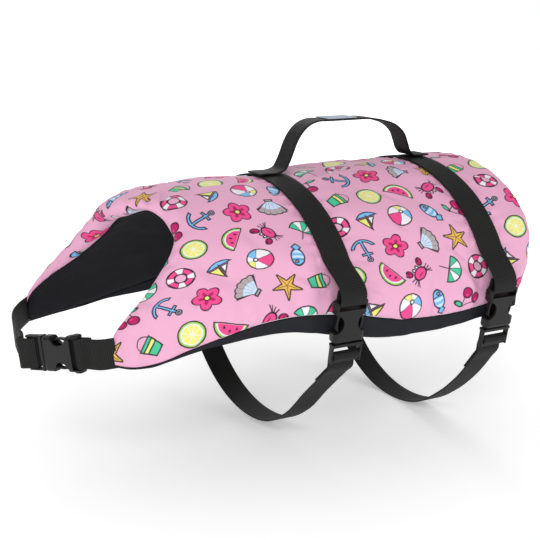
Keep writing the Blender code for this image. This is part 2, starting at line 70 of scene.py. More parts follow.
# %% Camera
PHOTO_SIZE = 540                    # pixels along each side of the photograph
FOCAL_PIXELS = 1032.3
SENSOR = 36.0                       # millimetres
AZIMUTH = radians(-28.25)
ELEVATION = radians(13.98)
DISTANCE = 0.9455
BACK = 0.0193                       # height of the outer back line over the origin
ANCHOR = np.array([0.0, 0.0, BACK])
ANCHOR_PIXEL = np.array([268.5, 173.9])


def place_camera():
    """The camera stands DISTANCE behind the anchor, moved sideways until the anchor's pixel is right."""
    back = np.array([np.sin(AZIMUTH) * np.cos(ELEVATION), -np.cos(AZIMUTH) * np.cos(ELEVATION),
                     np.sin(ELEVATION)])
    right = np.array([np.cos(AZIMUTH), np.sin(AZIMUTH), 0.0])
    up = np.cross(back, right)
    off = (ANCHOR_PIXEL - PHOTO_SIZE / 2) / FOCAL_PIXELS * DISTANCE
    spot = ANCHOR + back * DISTANCE - right * off[0] + up * off[1]
    camera = bpy.data.objects.new("camera", bpy.data.cameras.new("camera"))
    camera.data.sensor_width = SENSOR
    camera.data.lens = FOCAL_PIXELS / PHOTO_SIZE * SENSOR
    bpy.context.collection.objects.link(camera)
    axes = np.stack([right, up, back, spot], 1)
    camera.matrix_world = Matrix([*axes.tolist(), [0, 0, 0, 1]])
    bpy.context.scene.camera = camera
    return camera


camera = place_camera()
print("camera at", np.round(camera.matrix_world.translation, 3).tolist(), "lens", round(camera.data.lens, 1))

# %% [markdown]
# ## Shader sums as Python expressions
# A material is a graph of nodes. To keep the graph readable we wrap a socket in a small class:
# each operator adds one Math node, so `1 - mask` builds a Subtract node. Everything else comes
# from one method that takes the node's type, its settings and what its sockets hold.

# %% Sockets and nodes
class Value:
    """A socket of a finish, to be used in sums."""

    def __init__(self, finish, socket):
        self.finish = finish
        self.socket = socket

    def math(self, operation, *others, clamp=False):
        settings = {"operation": operation, "use_clamp": clamp}
        return self.finish.node("ShaderNodeMath", settings, dict(enumerate((self,) + others)))

    def __add__(self, other):
        return self.math("ADD", other)

    def __sub__(self, other):
        return self.math("SUBTRACT", other)

    def __mul__(self, other):
        return self.math("MULTIPLY", other)

    def __rsub__(self, other):
        return self.finish.node("ShaderNodeMath", {"operation": "SUBTRACT"}, {0: other, 1: self})

    def __abs__(self):
        return self.math("ABSOLUTE")


class Finish:
    """A material with its Principled surface and the node method."""

    def __init__(self, name, **surface):
        self.material = bpy.data.materials.new(name)
        self.material.use_nodes = True
        self.tree = self.material.node_tree
        self.surface = self.tree.nodes["Principled BSDF"]
        for key, value in surface.items():
            self.set(key, value)

    def set(self, key, value):
        """Feed a socket of the surface, named with underscores for spaces."""
        self.feed(self.surface.inputs[key.replace("_", " ")], value)

    def feed(self, socket, value):
        """Link a socket to a value's own, or set it; a colour gets alpha 1."""
        if isinstance(value, Value):
            self.tree.links.new(value.socket, socket)
        elif socket.type == "RGBA":
            socket.default_value = (*value, 1.0)[:4]
        else:
            socket.default_value = value

    def node(self, kind, settings=None, inputs=None, out=0):
        """Add a node: settings first, a ramp's stops among them, then the sockets."""
        made = self.tree.nodes.new(kind)
        for key, value in (settings or {}).items():
            if key == "stops":
                self.set_stops(made.color_ramp, value)
            else:
                setattr(made, key, value)
        for key, value in (inputs or {}).items():
            self.feed(made.inputs[key], value)
        return Value(self, made.outputs[out])

    @staticmethod
    def set_stops(ramp, stops):
        """Stops are (place, colour) pairs; the colour holds until the next one."""
        ramp.interpolation = "CONSTANT"
        while len(ramp.elements) < len(stops):
            ramp.elements.new(1.0)
        for element, (place, colour) in zip(ramp.elements, stops):
            element.position = place
            element.color = (*colour, 1.0)

    def vector(self, operation, *inputs, out=0):
        return self.node("ShaderNodeVectorMath", {"operation": operation}, dict(enumerate(inputs)), out)

    def mix(self, share, first, second):
        """Colour that goes from first to second as share goes from 0 to 1."""
        inputs = {0: share, 6: first, 7: second}
        return self.node("ShaderNodeMix", {"data_type": "RGBA"}, inputs, out=2)

    def split(self, vector):
        """The three parts of a vector."""
        parts = self.node("ShaderNodeSeparateXYZ", None, {0: vector})
        outputs = parts.socket.node.outputs
        return [Value(self, outputs[k]) for k in range(3)]

    def noise(self, place, scale, detail=2.0, out=0):
        inputs = {"Vector": place, "Scale": scale, "Detail": detail}
        return self.node("ShaderNodeTexNoise", None, inputs, out)

    def bump(self, height, distance, strength=1.0):
        """Let a height, in units of distance, tilt the surface."""
        inputs = {"Height": height, "Distance": distance, "Strength": strength}
        self.set("Normal", self.node("ShaderNodeBump", None, inputs))

    def on_cloth(self):
        """Place on the flat cloth in metres, from the piece's own map."""
        return self.node("ShaderNodeUVMap", {"uv_map": CLOTH_MAP})

    def on_object(self):
        return self.node("ShaderNodeTexCoord", out=3)


CLOTH_MAP = "cloth"

# %% [markdown]
# ## Floor and light
# The vest is shown on white in even light: bright from the camera's side, and dimmer from above,
# so that the side panels are lighter than the back. One large soft lamp stands by the camera, a
# weaker one fills from the right, and a third lights the far rims from behind. The white all round
# is a lit backdrop: the sky looks white but lights the vest more softly, and the floor glows more
# and more away from the vest.

# %% Floor, sky and lamps
FLOOR_SIZE = 14.0
FLOOR_GAP = 0.0005                  # under the lowest strap
FLOOR_GRAIN = 30.0                  # scale of the floor's faint clouds
FLOOR_SHADES = (0.93, 0.95)
SKY_SEEN = 1.0
SKY_LIGHT = 0.54
GLOW_NEAR = 0.22                    # light of the floor itself, under the vest
GLOW_FAR = 1.0                      # and at GLOW_REACH from it
GLOW_REACH = 2.2
LAMPS = {
    "key": {"spot": (-1.2, -1.8, 1.25), "size": 0.9, "watts": 22.0},
    "fill": {"spot": (1.5, -1.6, 0.5), "size": 1.2, "watts": 4.0},
    "rim": {"spot": (0.6, 1.8, 1.0), "size": 1.2, "watts": 8.0},
}


def make_floor():
    """A wide square under the vest; it glows in proportion to the distance from the origin."""
    half = FLOOR_SIZE / 2
    low = cad_box[0][2] - FLOOR_GAP
    mesh = bpy.data.meshes.new("floor")
    mesh.from_pydata([(-half, -half, low), (half, -half, low), (half, half, low), (-half, half, low)],
                     [], [(0, 1, 2, 3)])
    floor = bpy.data.objects.new("floor", mesh)
    bpy.context.collection.objects.link(floor)
    floor_finish = Finish("pale_floor", Roughness=0.9)
    grain = floor_finish.noise(floor_finish.on_object(), FLOOR_GRAIN)
    darker, lighter = ((shade,) * 3 for shade in FLOOR_SHADES)
    floor_finish.set("Base_Color", floor_finish.mix(grain, darker, lighter))
    away = floor_finish.vector("LENGTH", floor_finish.on_object(), out=1)
    share = away.math("DIVIDE", GLOW_REACH, clamp=True)
    floor_finish.set("Emission_Color", floor_finish.mix(share, (GLOW_NEAR,) * 3, (GLOW_FAR,) * 3))
    floor_finish.set("Emission_Strength", 1.0)
    mesh.materials.append(floor_finish.material)
    floor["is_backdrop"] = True


def make_lamp(name, spot, size, watts):
    """A square lamp that faces the frame's origin: its -Z axis points there."""
    lamp = bpy.data.objects.new(name, bpy.data.lights.new(name, "AREA"))
    lamp.data.size = size
    lamp.data.energy = watts
    bpy.context.collection.objects.link(lamp)
    away = np.array(spot)
    away = away / np.linalg.norm(away)
    side = np.cross([0.0, 0.0, 1.0], away)
    side = side / np.linalg.norm(side)
    axes = np.stack([side, np.cross(away, side), away, np.array(spot)], 1)
    lamp.matrix_world = Matrix([*axes.tolist(), [0, 0, 0, 1]])


def make_sky():
    """White where it is looked at, dimmer where it lights things."""
    world = bpy.data.worlds.new("sky")
    world.use_nodes = True
    nodes = world.node_tree.nodes
    seen = nodes.new("ShaderNodeLightPath").outputs["Is Camera Ray"]
    strength = nodes.new("ShaderNodeMapRange")
    strength.inputs["To Min"].default_value = SKY_LIGHT
    strength.inputs["To Max"].default_value = SKY_SEEN
    world.node_tree.links.new(seen, strength.inputs["Value"])
    nodes["Background"].inputs["Color"].default_value = (1.0, 1.0, 1.0, 1.0)
    world.node_tree.links.new(strength.outputs["Result"], nodes["Background"].inputs["Strength"])
    bpy.context.scene.world = world


make_floor()
make_sky()
for name, lamp in LAMPS.items():
    make_lamp(name, **lamp)
bpy.context.scene.view_settings.view_transform = "Standard"
print("floor at", round(cad_box[0][2] - FLOOR_GAP, 4), "and", len(LAMPS), "lamps")

# %% [markdown]
# ## The shape of the foam wall
# A maker cuts flat panels and sews them round the foam; worn, they close over the back like half
# a barrel. We work the wall out from sections: at each place along the back, half an ellipse with
# its own width and depth. The hem and both ends are curves on that barrel. The same few rows of
# sizes shaped the solid in the frame, so the cloth lands where the frame has it.

# %% Sizes of the wall
FOAM = 0.018                        # thickness of the wall
FOAM_AT_HEM = 0.010
FOAM_AT_TIP = 0.006                 # at the flaps' tips
RIM = 0.009                         # distance over which a rounded rim grows
LINING = 0.001
SEAM = 0.0003                       # gap between pieces that are sewn together
STRAP_LIFT = 0.0006                 # gap between a strap and the foam's skin
CINCH = 0.002                       # how far a strap sinks into the foam
CINCH_REACH = 0.022
HEM_THINS = 0.25                    # share of the way round over which the foam thins to the hem
HEM_RIM = 0.06                      # and over which the hem's rim grows
WEB_WIDTH = 0.025
WEB = 0.0016                        # thickness of the webbing
SLOPE_STEP = 1e-4                   # for slopes, in metres and in shares
# The foam thins to a flap's tip from x on, over a length, and from a share on, over a rise.
TIP = {"x": -0.10, "length": 0.08, "share": 0.45, "rise": 0.40}
# It thins round the near side of the neck too, from x on and like a bell round a share.
CROWN = {"x": -0.105, "length": 0.03, "share": 0.16, "spread": 0.12, "foam": 0.008}
STRAP_X = {"front": 0.0, "rear": 0.157}
# How far a strap runs along X on its way down from the back line.
STRAP_RUN = {
    "down": (0.0, 0.035, 0.070, 0.100, 0.130),
    "run":  (0.0, 0.002, 0.003, 0.0005, -0.001),
}
# Along X: the barrel's half width and depth, and how far its top lies over BACK.
SECTIONS = {
    "x":     (-0.210, -0.150, -0.120, -0.080, -0.030, 0.000, 0.080, 0.157, 0.190, 0.218),
    "width": (0.104, 0.106, 0.113, 0.124, 0.1325, 0.134, 0.136, 0.1360, 0.1360, 0.1355),
    "depth": (0.130, 0.130, 0.128, 0.124, 0.120, 0.118, 0.118, 0.117, 0.104, 0.092),
    "rise":  (-0.0215, -0.0122, -0.0058, -0.0024, -0.0005, 0.0, 0.0030, 0.0066, 0.0056, 0.0070),
}
# Along X: the height of each hem over BACK.
HEMS = {
    "x":    (-0.210, -0.190, -0.175, -0.160, -0.123, -0.070,
             -0.047, 0.013, 0.056, 0.136, 0.190, 0.218),
    "near": (-0.1150, -0.1222, -0.1268, -0.1272, -0.116, -0.100,
             -0.097, -0.102, -0.111, -0.113, -0.106, -0.102),
    "far":  (-0.1380, -0.1350, -0.1325, -0.1302, -0.124, -0.117,
             -0.113, -0.112, -0.114, -0.113, -0.106, -0.102),
}
# By share of the way to the hem: where both halves' front rims and the rear rim lie along X.
ENDS = {
    "share": (0.0, 0.08, 0.16, 0.25, 0.35, 0.44, 0.52,
              0.60, 0.69, 0.78, 0.86, 0.94, 1.0),
    "near":  (-0.1490, -0.1420, -0.1315, -0.1240, -0.1220, -0.1225, -0.1295,
              -0.1415, -0.1575, -0.1750, -0.1865, -0.1895, -0.1885),
    "far":   (-0.1490, -0.1520, -0.1525, -0.1530, -0.1545, -0.1570, -0.1625,
              -0.1700, -0.1820, -0.1945, -0.2030, -0.2055, -0.2050),
    "rear":  (0.2160, 0.2159, 0.2157, 0.2152, 0.2145, 0.2135, 0.2123,
              0.2110, 0.2080, 0.2030, 0.1980, 0.1910, 0.1870),
}
SIDES = {"near": -1.0, "far": 1.0}


def smooth(table, key, column, at):
    """Read a column of a table at any place: a cubic between rows, with the table's own slope at a row."""
    k = np.array(table[key])
    c = np.array(table[column])
    slope = np.gradient(c, k)
    at = np.clip(np.asarray(at, dtype=float), k[0], k[-1])
    row = np.clip(np.searchsorted(k, at) - 1, 0, len(k) - 2)
    step = k[row + 1] - k[row]
    t = (at - k[row]) / step
    return ((2 * t**3 - 3 * t**2 + 1) * c[row] + (t**3 - 2 * t**2 + t) * step * slope[row]
            + (3 * t**2 - 2 * t**3) * c[row + 1] + (t**3 - t**2) * step * slope[row + 1])


def unit(v):
    """Vectors divided by their length."""
    return v / np.maximum(np.linalg.norm(v, axis=-1, keepdims=True), 1e-12)


def strap_x(strap, z):
    """Where the middle of a strap is along X at height z."""
    return STRAP_X[strap] + smooth(STRAP_RUN, "down", "run", BACK - z)


def skin(x, share, side):
    """Point of the outer surface: (width sin t, -depth (1 - cos t)), t going from 0 to the hem's angle."""
    depth = smooth(SECTIONS, "x", "depth", x)
    rise = smooth(SECTIONS, "x", "rise", x)
    turn = share * np.arccos(1 - (rise - smooth(HEMS, "x", side, x)) / depth)
    z = BACK + rise - depth * (1 - np.cos(turn))
    y = SIDES[side] * smooth(SECTIONS, "x", "width", x) * np.sin(turn)
    sink = sum(CINCH * np.exp(-((x - strap_x(strap, z)) / CINCH_REACH) ** 4) for strap in STRAP_X)
    away = np.stack([np.zeros_like(x), SIDES[side] * np.sin(turn), np.cos(turn)], -1)
    return np.stack([x, y, z], -1) - away * sink[..., None]


print("wall at the widest section:", np.round(skin(np.array(0.08), np.array(0.85), "near"), 3).tolist())

# %% [markdown]
# ## One grid for the whole wall
# All the cloth of the wall hangs on one grid: columns run along the body and rows go from the
# near hem over the back to the far hem. At the four borders the wall's thickness dies away
# like a quarter circle, which gives the rolled rim of the real vest. From the grid we keep the
# outer points, the wall's direction and thickness, and where each point lies on the flat cloth.

# %% The wall's grid
RIM_STEPS = 8
HEM_STEPS = 7
COLUMNS = 212                       # between the rims
ROWS = 96                           # from the hem's rim to the back line


def ease(steps):
    """Angles of a quarter circle, for spacing 1 - cos and growth sin."""
    return np.linspace(0, pi / 2, steps + 1)


def crown_thinning(x, share):
    """How far the foam has thinned: a ramp towards the neck times a bell round the near crown."""
    thinner = np.clip((CROWN["x"] - x) / CROWN["length"], 0, 1)
    return thinner * np.exp(-((share - CROWN["share"]) / CROWN["spread"]) ** 2)


def wall_half(side):
    """Outer points, normals, thickness and growth of one half, from hem to back line."""
    rim = RIM * (1 - np.cos(ease(RIM_STEPS)))
    hem = HEM_RIM * (1 - np.cos(ease(HEM_STEPS)))
    share = 1 - np.concatenate([hem[:-1], np.linspace(HEM_RIM, 1, ROWS)])
    front = smooth(ENDS, "share", side, share)
    rear = smooth(ENDS, "share", "rear", share)
    body = np.linspace(0, 1, COLUMNS)[1:-1, None] * (rear - front - 2 * RIM) + front + RIM
    x = np.concatenate([front + rim[:, None], body, rear - rim[::-1, None]])
    share = np.broadcast_to(share, x.shape)
    inner = np.clip(share, 2 * SLOPE_STEP, None)
    point = skin(x, share, side)
    along = skin(x + SLOPE_STEP, share, side) - skin(x - SLOPE_STEP, share, side)
    down = skin(x, inner + SLOPE_STEP, side) - skin(x, inner - SLOPE_STEP, side)
    normal = unit(np.cross(along, down)) * SIDES[side]
    wall = FOAM_AT_HEM + (FOAM - FOAM_AT_HEM) * np.clip((1 - share) / HEM_THINS, 0, 1)
    tip = np.clip((TIP["x"] - x) / TIP["length"], 0, 1)
    wall = wall + (FOAM_AT_TIP - wall) * tip * np.clip((share - TIP["share"]) / TIP["rise"], 0, 1)
    wall = wall + (CROWN["foam"] - wall) * crown_thinning(x, -SIDES[side] * share)
    grow_x = np.ones(x.shape[0])
    grow_x[:RIM_STEPS + 1] = np.sin(ease(RIM_STEPS))
    grow_x[-RIM_STEPS - 1:] = np.sin(ease(RIM_STEPS))[::-1]
    grow_y = np.ones(x.shape[1])
    grow_y[:HEM_STEPS + 1] = np.sin(ease(HEM_STEPS))
    run = np.linalg.norm(np.diff(point[:, ::-1], axis=1), axis=2)
    around = np.concatenate([np.zeros((len(x), 1)), np.cumsum(run, axis=1)], 1)[:, ::-1]
    from_hem = around[:, :1] - around
    return {"point": point, "normal": normal, "wall": wall, "around": around * SIDES[side],
            "from_hem": from_hem, "full": grow_x[:, None] * grow_y, "share": share,
            "from_end": np.minimum(x - front, rear - x)}


def wall_grid():
    """Both halves joined at the back line."""
    near, far = wall_half("near"), wall_half("far")
    return {key: np.concatenate([near[key], far[key][:, -2::-1]], 1) for key in near}


wall = wall_grid()
middle = wall["point"] - wall["normal"] * wall["wall"][..., None] / 2
reach = wall["normal"] * (wall["wall"] * wall["full"])[..., None] / 2
print("wall grid", wall["point"].shape[:2], "half girth", np.round(wall["around"].max(), 3))

# %% [markdown]
# ## Puffs, puckers and creases
# Foam pushes the cover out between its seams, and every seam and strap gathers the nylon a
# little. The foam's puff is a smooth step away from straps, hem and ends. Puckers are waves of
# uneven length that die away from a seam. Creases are listed one by one: each is a soft trough with
# a ridge beside it, along a short line on the cloth.

# %% Relief of the cover
PUFF = 0.0020
PUFF_REACH = {"strap": 0.020, "hem": 0.022, "end": 0.020, "back": 0.045}
PUFF_SUNK = 0.25                    # share of the puff by which the cover sinks at its seams
PUFF_ON_BACK = 0.25                 # share of the puff that is left on the back line
BROAD = 0.0007                      # height of the slow waves over the whole cover
BROAD_ON_BACK = 0.3
# Each slow wave: radians per metre along X and round the body, and how far the sides shift it.
BROAD_WAVES = ((83, 11, 0.0), (47, -61, 1.3), (-29, 97, 0.0))
# Puckers at a seam: height, wavelength, phase, and the distance over which they die away.
PUCKERS = {
    "hem":   (0.0015, 0.019, 1.0, 0.014),
    "strap": (0.0012, 0.016, 2.0, 0.008),
    "end":   (0.0008, 0.022, 0.4, 0.011),
}
# What makes a wave uneven: how far each slower sine pushes it, that sine's radians per metre,
# and its start in phases of the wave.
SWAY = ((1.4, 61, 1), (0.9, 143, 2))
# Each crease: x and way round (from the back line) of both ends, width and depth, in metres.
CREASES = (
    (-0.1250, 0.012, -0.1320, 0.042, 0.0026, 0.0016),
    (-0.1040, 0.004, -0.1250, 0.056, 0.0030, 0.0017),
    (-0.0790, 0.005, -0.1090, 0.062, 0.0040, 0.0010),
    (-0.1150, 0.062, -0.1290, 0.083, 0.0024, 0.0011),
    (-0.1280, 0.088, -0.1400, 0.098, 0.0022, 0.0009),
    (-0.1430, 0.108, -0.1290, 0.118, 0.0026, 0.0009),
    (0.0220, 0.034, 0.0760, 0.006, 0.0060, 0.0016),
    (-0.0900, 0.016, -0.0200, 0.024, 0.0060, 0.0009),
    (0.0700, 0.062, 0.0910, 0.092, 0.0034, 0.0009),
    (0.0690, 0.108, 0.0800, 0.122, 0.0030, 0.0008),
    (0.1150, 0.138, 0.1360, 0.163, 0.0034, 0.0010),
    (0.1230, 0.158, 0.1450, 0.184, 0.0030, 0.0013),
    (0.0160, 0.162, 0.0420, 0.183, 0.0030, 0.0012),
    (0.0200, 0.142, 0.0360, 0.150, 0.0030, 0.0007),
    (-0.0400, 0.150, -0.0150, 0.170, 0.0036, 0.0008),
    (0.1750, 0.120, 0.1980, 0.150, 0.0034, 0.0008),
    (0.1740, 0.170, 0.1860, 0.186, 0.0026, 0.0012),
    (-0.1700, 0.130, -0.1500, 0.160, 0.0040, 0.0010),
    (-0.1150, 0.120, -0.0850, 0.160, 0.0060, 0.0009),
    (-0.0700, 0.090, -0.0560, 0.135, 0.0055, 0.0008),
    (0.0930, 0.028, 0.1250, 0.050, 0.0040, 0.0010),
    (0.1780, 0.050, 0.2050, 0.080, 0.0045, 0.0010),
)
# Where the cover sags over the hem: middle along X, half width, and how far.
SAGS = {
    "near": ((0.0580, 0.0110, 0.0042), (0.0220, 0.0100, 0.0018), (-0.0360, 0.0140, 0.0016),
             (0.0900, 0.0090, 0.0016), (0.1200, 0.0130, 0.0012), (-0.0900, 0.0120, 0.0012),
             (0.1820, 0.0070, 0.0015), (-0.1450, 0.0120, 0.0010)),
    "far": ((0.0700, 0.0120, 0.0034), (0.0300, 0.0120, 0.0014), (-0.0500, 0.0150, 0.0018),
            (0.1180, 0.0110, 0.0016), (-0.1000, 0.0130, 0.0013), (0.1850, 0.0080, 0.0012)),
}
SAG_REACH = 0.012
CREASE_SCALE = 1.7                  # even light flattens creases, so they are cut deeper than they look
RIDGE = 0.55                        # height of the ridge beside a trough
RIDGE_OFF = 1.7                     # and its distance, in widths
FAR_SHIFT = 0.005                   # the far side's creases lie a little further back
# A seam across the side panel, just in front of the front strap: a trough with no ridge.
PANEL_SEAM = (-0.0125, 0.118, -0.0180, 0.182, 0.0011, 0.0009)


def ramp(distance, reach):
    """Smooth step: 0 at no distance, 1 from reach on."""
    t = np.clip(distance / reach, 0, 1)
    return t * t * (3 - 2 * t)


def trough(x, way, line, ridge=RIDGE):
    """Minus a bell curve across a line, plus a lower one beside it, both fading to the line's ends."""
    x0, way0, x1, way1, width, depth = line
    along = np.hypot(x1 - x0, way1 - way0)
    tx, ty = (x1 - x0) / along, (way1 - way0) / along
    t = ((x - x0) * tx + (way - way0) * ty) / along
    off = ((way - way0) * tx - (x - x0) * ty) / width
    fade = np.clip(1 - (2 * t - 1) ** 2, 0, 1)
    return depth * fade * (ridge * np.exp(-(off - RIDGE_OFF) ** 2) - np.exp(-off ** 2))


def wave(at, length, phase):
    """A sine of uneven wavelength: two slower sines push its phase about."""
    pushed = sum(far * np.sin(at * fast + phases * phase) for far, fast, phases in SWAY)
    return np.sin(2 * pi * at / length + pushed)


def puckers(seam, at, distance, shift=0.0):
    """Waves along a seam, times exp(-distance / reach)."""
    high, length, phase, reach = PUCKERS[seam]
    return high * wave(at, length, phase + shift) * np.exp(-distance / reach)


def cover_relief(grid):
    """Height of the cover over the plain wall, at each point of the grid."""
    x = grid["point"][..., 0]
    z = grid["point"][..., 2]
    way = np.abs(grid["around"])
    side = np.sign(grid["around"])
    from_strap = np.minimum.reduce([np.abs(x - strap_x(strap, z)) for strap in STRAP_X]) - WEB_WIDTH / 2
    near_strap = ramp(from_strap, PUFF_REACH["strap"])
    near_hem = ramp(grid["from_hem"], PUFF_REACH["hem"])
    near_end = ramp(grid["from_end"], PUFF_REACH["end"])
    off_back = ramp(way, PUFF_REACH["back"])
    full = near_strap * near_hem * near_end * (PUFF_ON_BACK + (1 - PUFF_ON_BACK) * off_back)
    high = PUFF * (full - PUFF_SUNK)
    broad = BROAD * sum(np.sin(x * a + way * b + side * c) for a, b, c in BROAD_WAVES)
    high += broad * near_strap * near_end * (BROAD_ON_BACK + (1 - BROAD_ON_BACK) * off_back)
    shift = np.where(side > 0, FAR_SHIFT, 0.0)
    for line in CREASES:
        high += CREASE_SCALE * trough(x - shift, way, line)
    high += trough(x, way, PANEL_SEAM, ridge=0.0)
    outside = np.clip(from_strap, 0, None)
    high += puckers("hem", x, grid["from_hem"], side)
    high += puckers("strap", grid["around"], outside) * (from_strap > 0) * near_hem
    high += puckers("end", grid["around"], grid["from_end"])
    return high


def hem_sag(grid):
    """How far the cover hangs below its seam: bells along the hem that fade upwards."""
    x = grid["point"][..., 0]
    near, far = (sum(drop * np.exp(-((x - at) / wide) ** 2) for at, wide, drop in SAGS[side])
                 for side in SIDES)
    low = np.where(grid["around"] < 0, near, far)
    return low * np.exp(-grid["from_hem"] / SAG_REACH)


relief = cover_relief(wall)
sag = hem_sag(wall)
print("relief from", round(relief.min() * 1000, 2), "to", round(relief.max() * 1000, 2), "mm")

# %% [markdown]
# ## From points to meshes
# A closed sheet has two faces that share their border points, so it has no open edge and needs
# no cap. A profile carried along a path is a tube of rings, closed by one face at each end.

# %% Mesh makers
def add_piece(name, points, faces, finish, replaces, uv=None):
    """Make a mesh object from arrays, smooth it, and let it ride on the vest in a solid's place."""
    used, place = np.unique(np.concatenate([np.ravel(f) for f in faces]), return_inverse=True)
    lengths = [len(f) for group in faces for f in group]
    corners = np.split(place, np.cumsum(lengths)[:-1])
    mesh = bpy.data.meshes.new(name)
    mesh.from_pydata(points[used].tolist(), [], [c.tolist() for c in corners])
    if uv is not None:
        layer = mesh.uv_layers.new(name=CLOTH_MAP)
        layer.data.foreach_set("uv", uv[used][place].ravel())
    mesh.shade_smooth()
    mesh.materials.append(finish.material)
    piece = bpy.data.objects.new(name, mesh)
    bpy.context.collection.objects.link(piece)
    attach(piece, BODY)
    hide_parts(*replaces)
    return piece


def closed_sheet(name, front, back, front_uv, back_uv, finish, replaces):
    """Two grids of quads, face to face, that share their border points. Front faces outwards."""
    columns, rows = front.shape[:2]
    index = np.arange(columns * rows).reshape(columns, rows)
    under = index + columns * rows
    border = np.zeros((columns, rows), bool)
    border[[0, -1]] = True
    border[:, [0, -1]] = True
    under = np.where(border, index, under)
    top = np.stack([index[:-1, :-1], index[:-1, 1:], index[1:, 1:], index[1:, :-1]], -1).reshape(-1, 4)
    low = np.stack([under[:-1, :-1], under[1:, :-1], under[1:, 1:], under[:-1, 1:]], -1).reshape(-1, 4)
    points = np.concatenate([front.reshape(-1, 3), back.reshape(-1, 3)])
    uv = np.concatenate([front_uv.reshape(-1, 2), back_uv.reshape(-1, 2)])
    return add_piece(name, points, [top, low], finish, replaces, uv)


def outward(piece):
    """Turn a closed mesh's faces to the outside if its volume comes out negative."""
    mesh = piece.data
    mesh.calc_loop_triangles()
    corners = np.empty(len(mesh.loop_triangles) * 3, int)
    mesh.loop_triangles.foreach_get("vertices", corners)
    points = np.empty(len(mesh.vertices) * 3)
    mesh.vertices.foreach_get("co", points)
    a, b, c = points.reshape(-1, 3)[corners.reshape(-1, 3)].transpose(1, 0, 2)
    if np.sum(a * np.cross(b, c)) < 0:
        mesh.flip_normals()
    return piece


# %% [markdown]
# ## The print
# The cover wears a beach print all over, drawn for this vest: starfish, balls, fruit, fish, shells
# and boats in pinks, blues, greens and yellows, each about 25 mm wide, with dark hand-drawn
# outlines. Each motif is a small drawing made of distances: a distance below zero is inside a
# shape. It is filled, and then its outline is inked where the distance is nearly zero.

# %% Drawing with distances
GROUND = (0.81, 0.415, 0.59)
INK = (0.012, 0.006, 0.012)
MAGENTA = (0.50, 0.012, 0.13)
HOT_PINK = (0.83, 0.07, 0.27)
YELLOW = (0.83, 0.80, 0.20)
AMBER = (0.82, 0.48, 0.10)
SKY_BLUE = (0.20, 0.50, 0.85)
PALE_BLUE = (0.60, 0.74, 0.92)
TEAL = (0.07, 0.55, 0.32)
LIME = (0.32, 0.65, 0.12)
GREY = (0.44, 0.38, 0.40)
WHITE = (0.86, 0.84, 0.88)
LINE = 0.042                        # half the width of an ink line, in motif radii
SOFT = 0.05                         # width of a shape's soft edge


class Drawing:
    """Shapes around one point of the cloth; each method returns a signed distance or a colour."""

    def __init__(self, finish, place):
        self.finish = finish
        self.place = place
        self.x, self.y, _ = finish.split(place)
        self.away = finish.vector("LENGTH", place, out=1)
        self.turn = self.y.math("ARCTAN2", self.x)

    def local(self, centre, turn=0.0, size=(1.0, 1.0)):
        """The place as seen from a turned and scaled frame."""
        inputs = {0: self.place, 1: (*centre, 0.0), 2: (0.0, 0.0, turn), 3: (*size, 1.0)}
        return self.finish.node("ShaderNodeMapping", {"vector_type": "TEXTURE"}, inputs)

    def oval(self, centre, radii, turn=0.0):
        """Distance to an ellipse: the length of the scaled place, less one, times the small radius."""
        inside = self.finish.vector("LENGTH", self.local(centre, turn, radii), out=1)
        return (inside - 1.0) * min(radii)

    def slab(self, centre, half, turn=0.0):
        """Distance to a rectangle: the larger of |x| - half width and |y| - half height."""
        size = self.finish.vector("ABSOLUTE", self.local(centre, turn))
        x, y, _ = self.finish.split(self.finish.vector("SUBTRACT", size, (*half, 0.0)))
        return x.math("MAXIMUM", y)

    def lobes(self, count):
        """|cos| of the angle: 1 on each of count rays, 0 between them."""
        return abs((self.turn * (count / 2)).math("COSINE"))

    def fill(self, shape):
        """1 inside a shape, 0 outside, with a soft edge."""
        return shape.math("MULTIPLY_ADD", -1 / SOFT, 0.5, clamp=True)

    def paint(self, colour, tint, shape):
        return self.finish.mix(self.fill(shape), colour, tint)

    def ink(self, colour, tint, shape):
        """Fill a shape and draw round it."""
        colour = self.paint(colour, tint, shape)
        return self.paint(colour, INK, abs(shape) - LINE)


# %% [markdown]
# The fourteen motifs follow. Each starts from the ground's colour and returns the colour with the
# drawing on it, so they can be swapped, moved and reordered freely.

# %% Round motifs
def starfish(d, colour):
    """Five arms: the angle is folded onto half an arm, which narrows towards its tip."""
    fold = d.turn.math("PINGPONG", pi / 5)
    along = d.away * fold.math("COSINE")
    across = d.away * fold.math("SINE")
    arms = (across + along * 0.27 - 0.27).math("MAXIMUM", d.away - 0.92)
    colour = d.ink(colour, AMBER, arms)
    vein = (across - 0.02).math("MAXIMUM", along - 0.62)
    return d.paint(colour, INK, vein)


def beach_ball(d, colour):
    """Six panels that meet at a cap a little off the middle."""
    x, y, _ = d.finish.split(d.local((0.20, 0.22)))
    turn = y.math("ARCTAN2", x)
    stops = [(k / 6, tint) for k, tint in enumerate((HOT_PINK, WHITE, SKY_BLUE, WHITE, YELLOW, WHITE))]
    panels = d.finish.node("ShaderNodeValToRGB", {"stops": stops}, {0: turn * (0.5 / pi) + 0.5})
    ball = d.away - 0.80
    colour = d.ink(colour, panels, ball)
    seams = abs((turn * 3.0).math("SINE")) * 0.35 - 0.030
    colour = d.paint(colour, INK, seams.math("MAXIMUM", ball))
    return d.ink(colour, WHITE, d.oval((0.20, 0.22), (0.13, 0.13)))


def lifebuoy(d, colour):
    """A ring with four coloured bands."""
    ring = abs(d.away - 0.58) - 0.23
    colour = d.ink(colour, WHITE, ring)
    bands = (0.62 - d.lobes(4)).math("MAXIMUM", ring + 0.04)
    return d.ink(colour, HOT_PINK, bands)


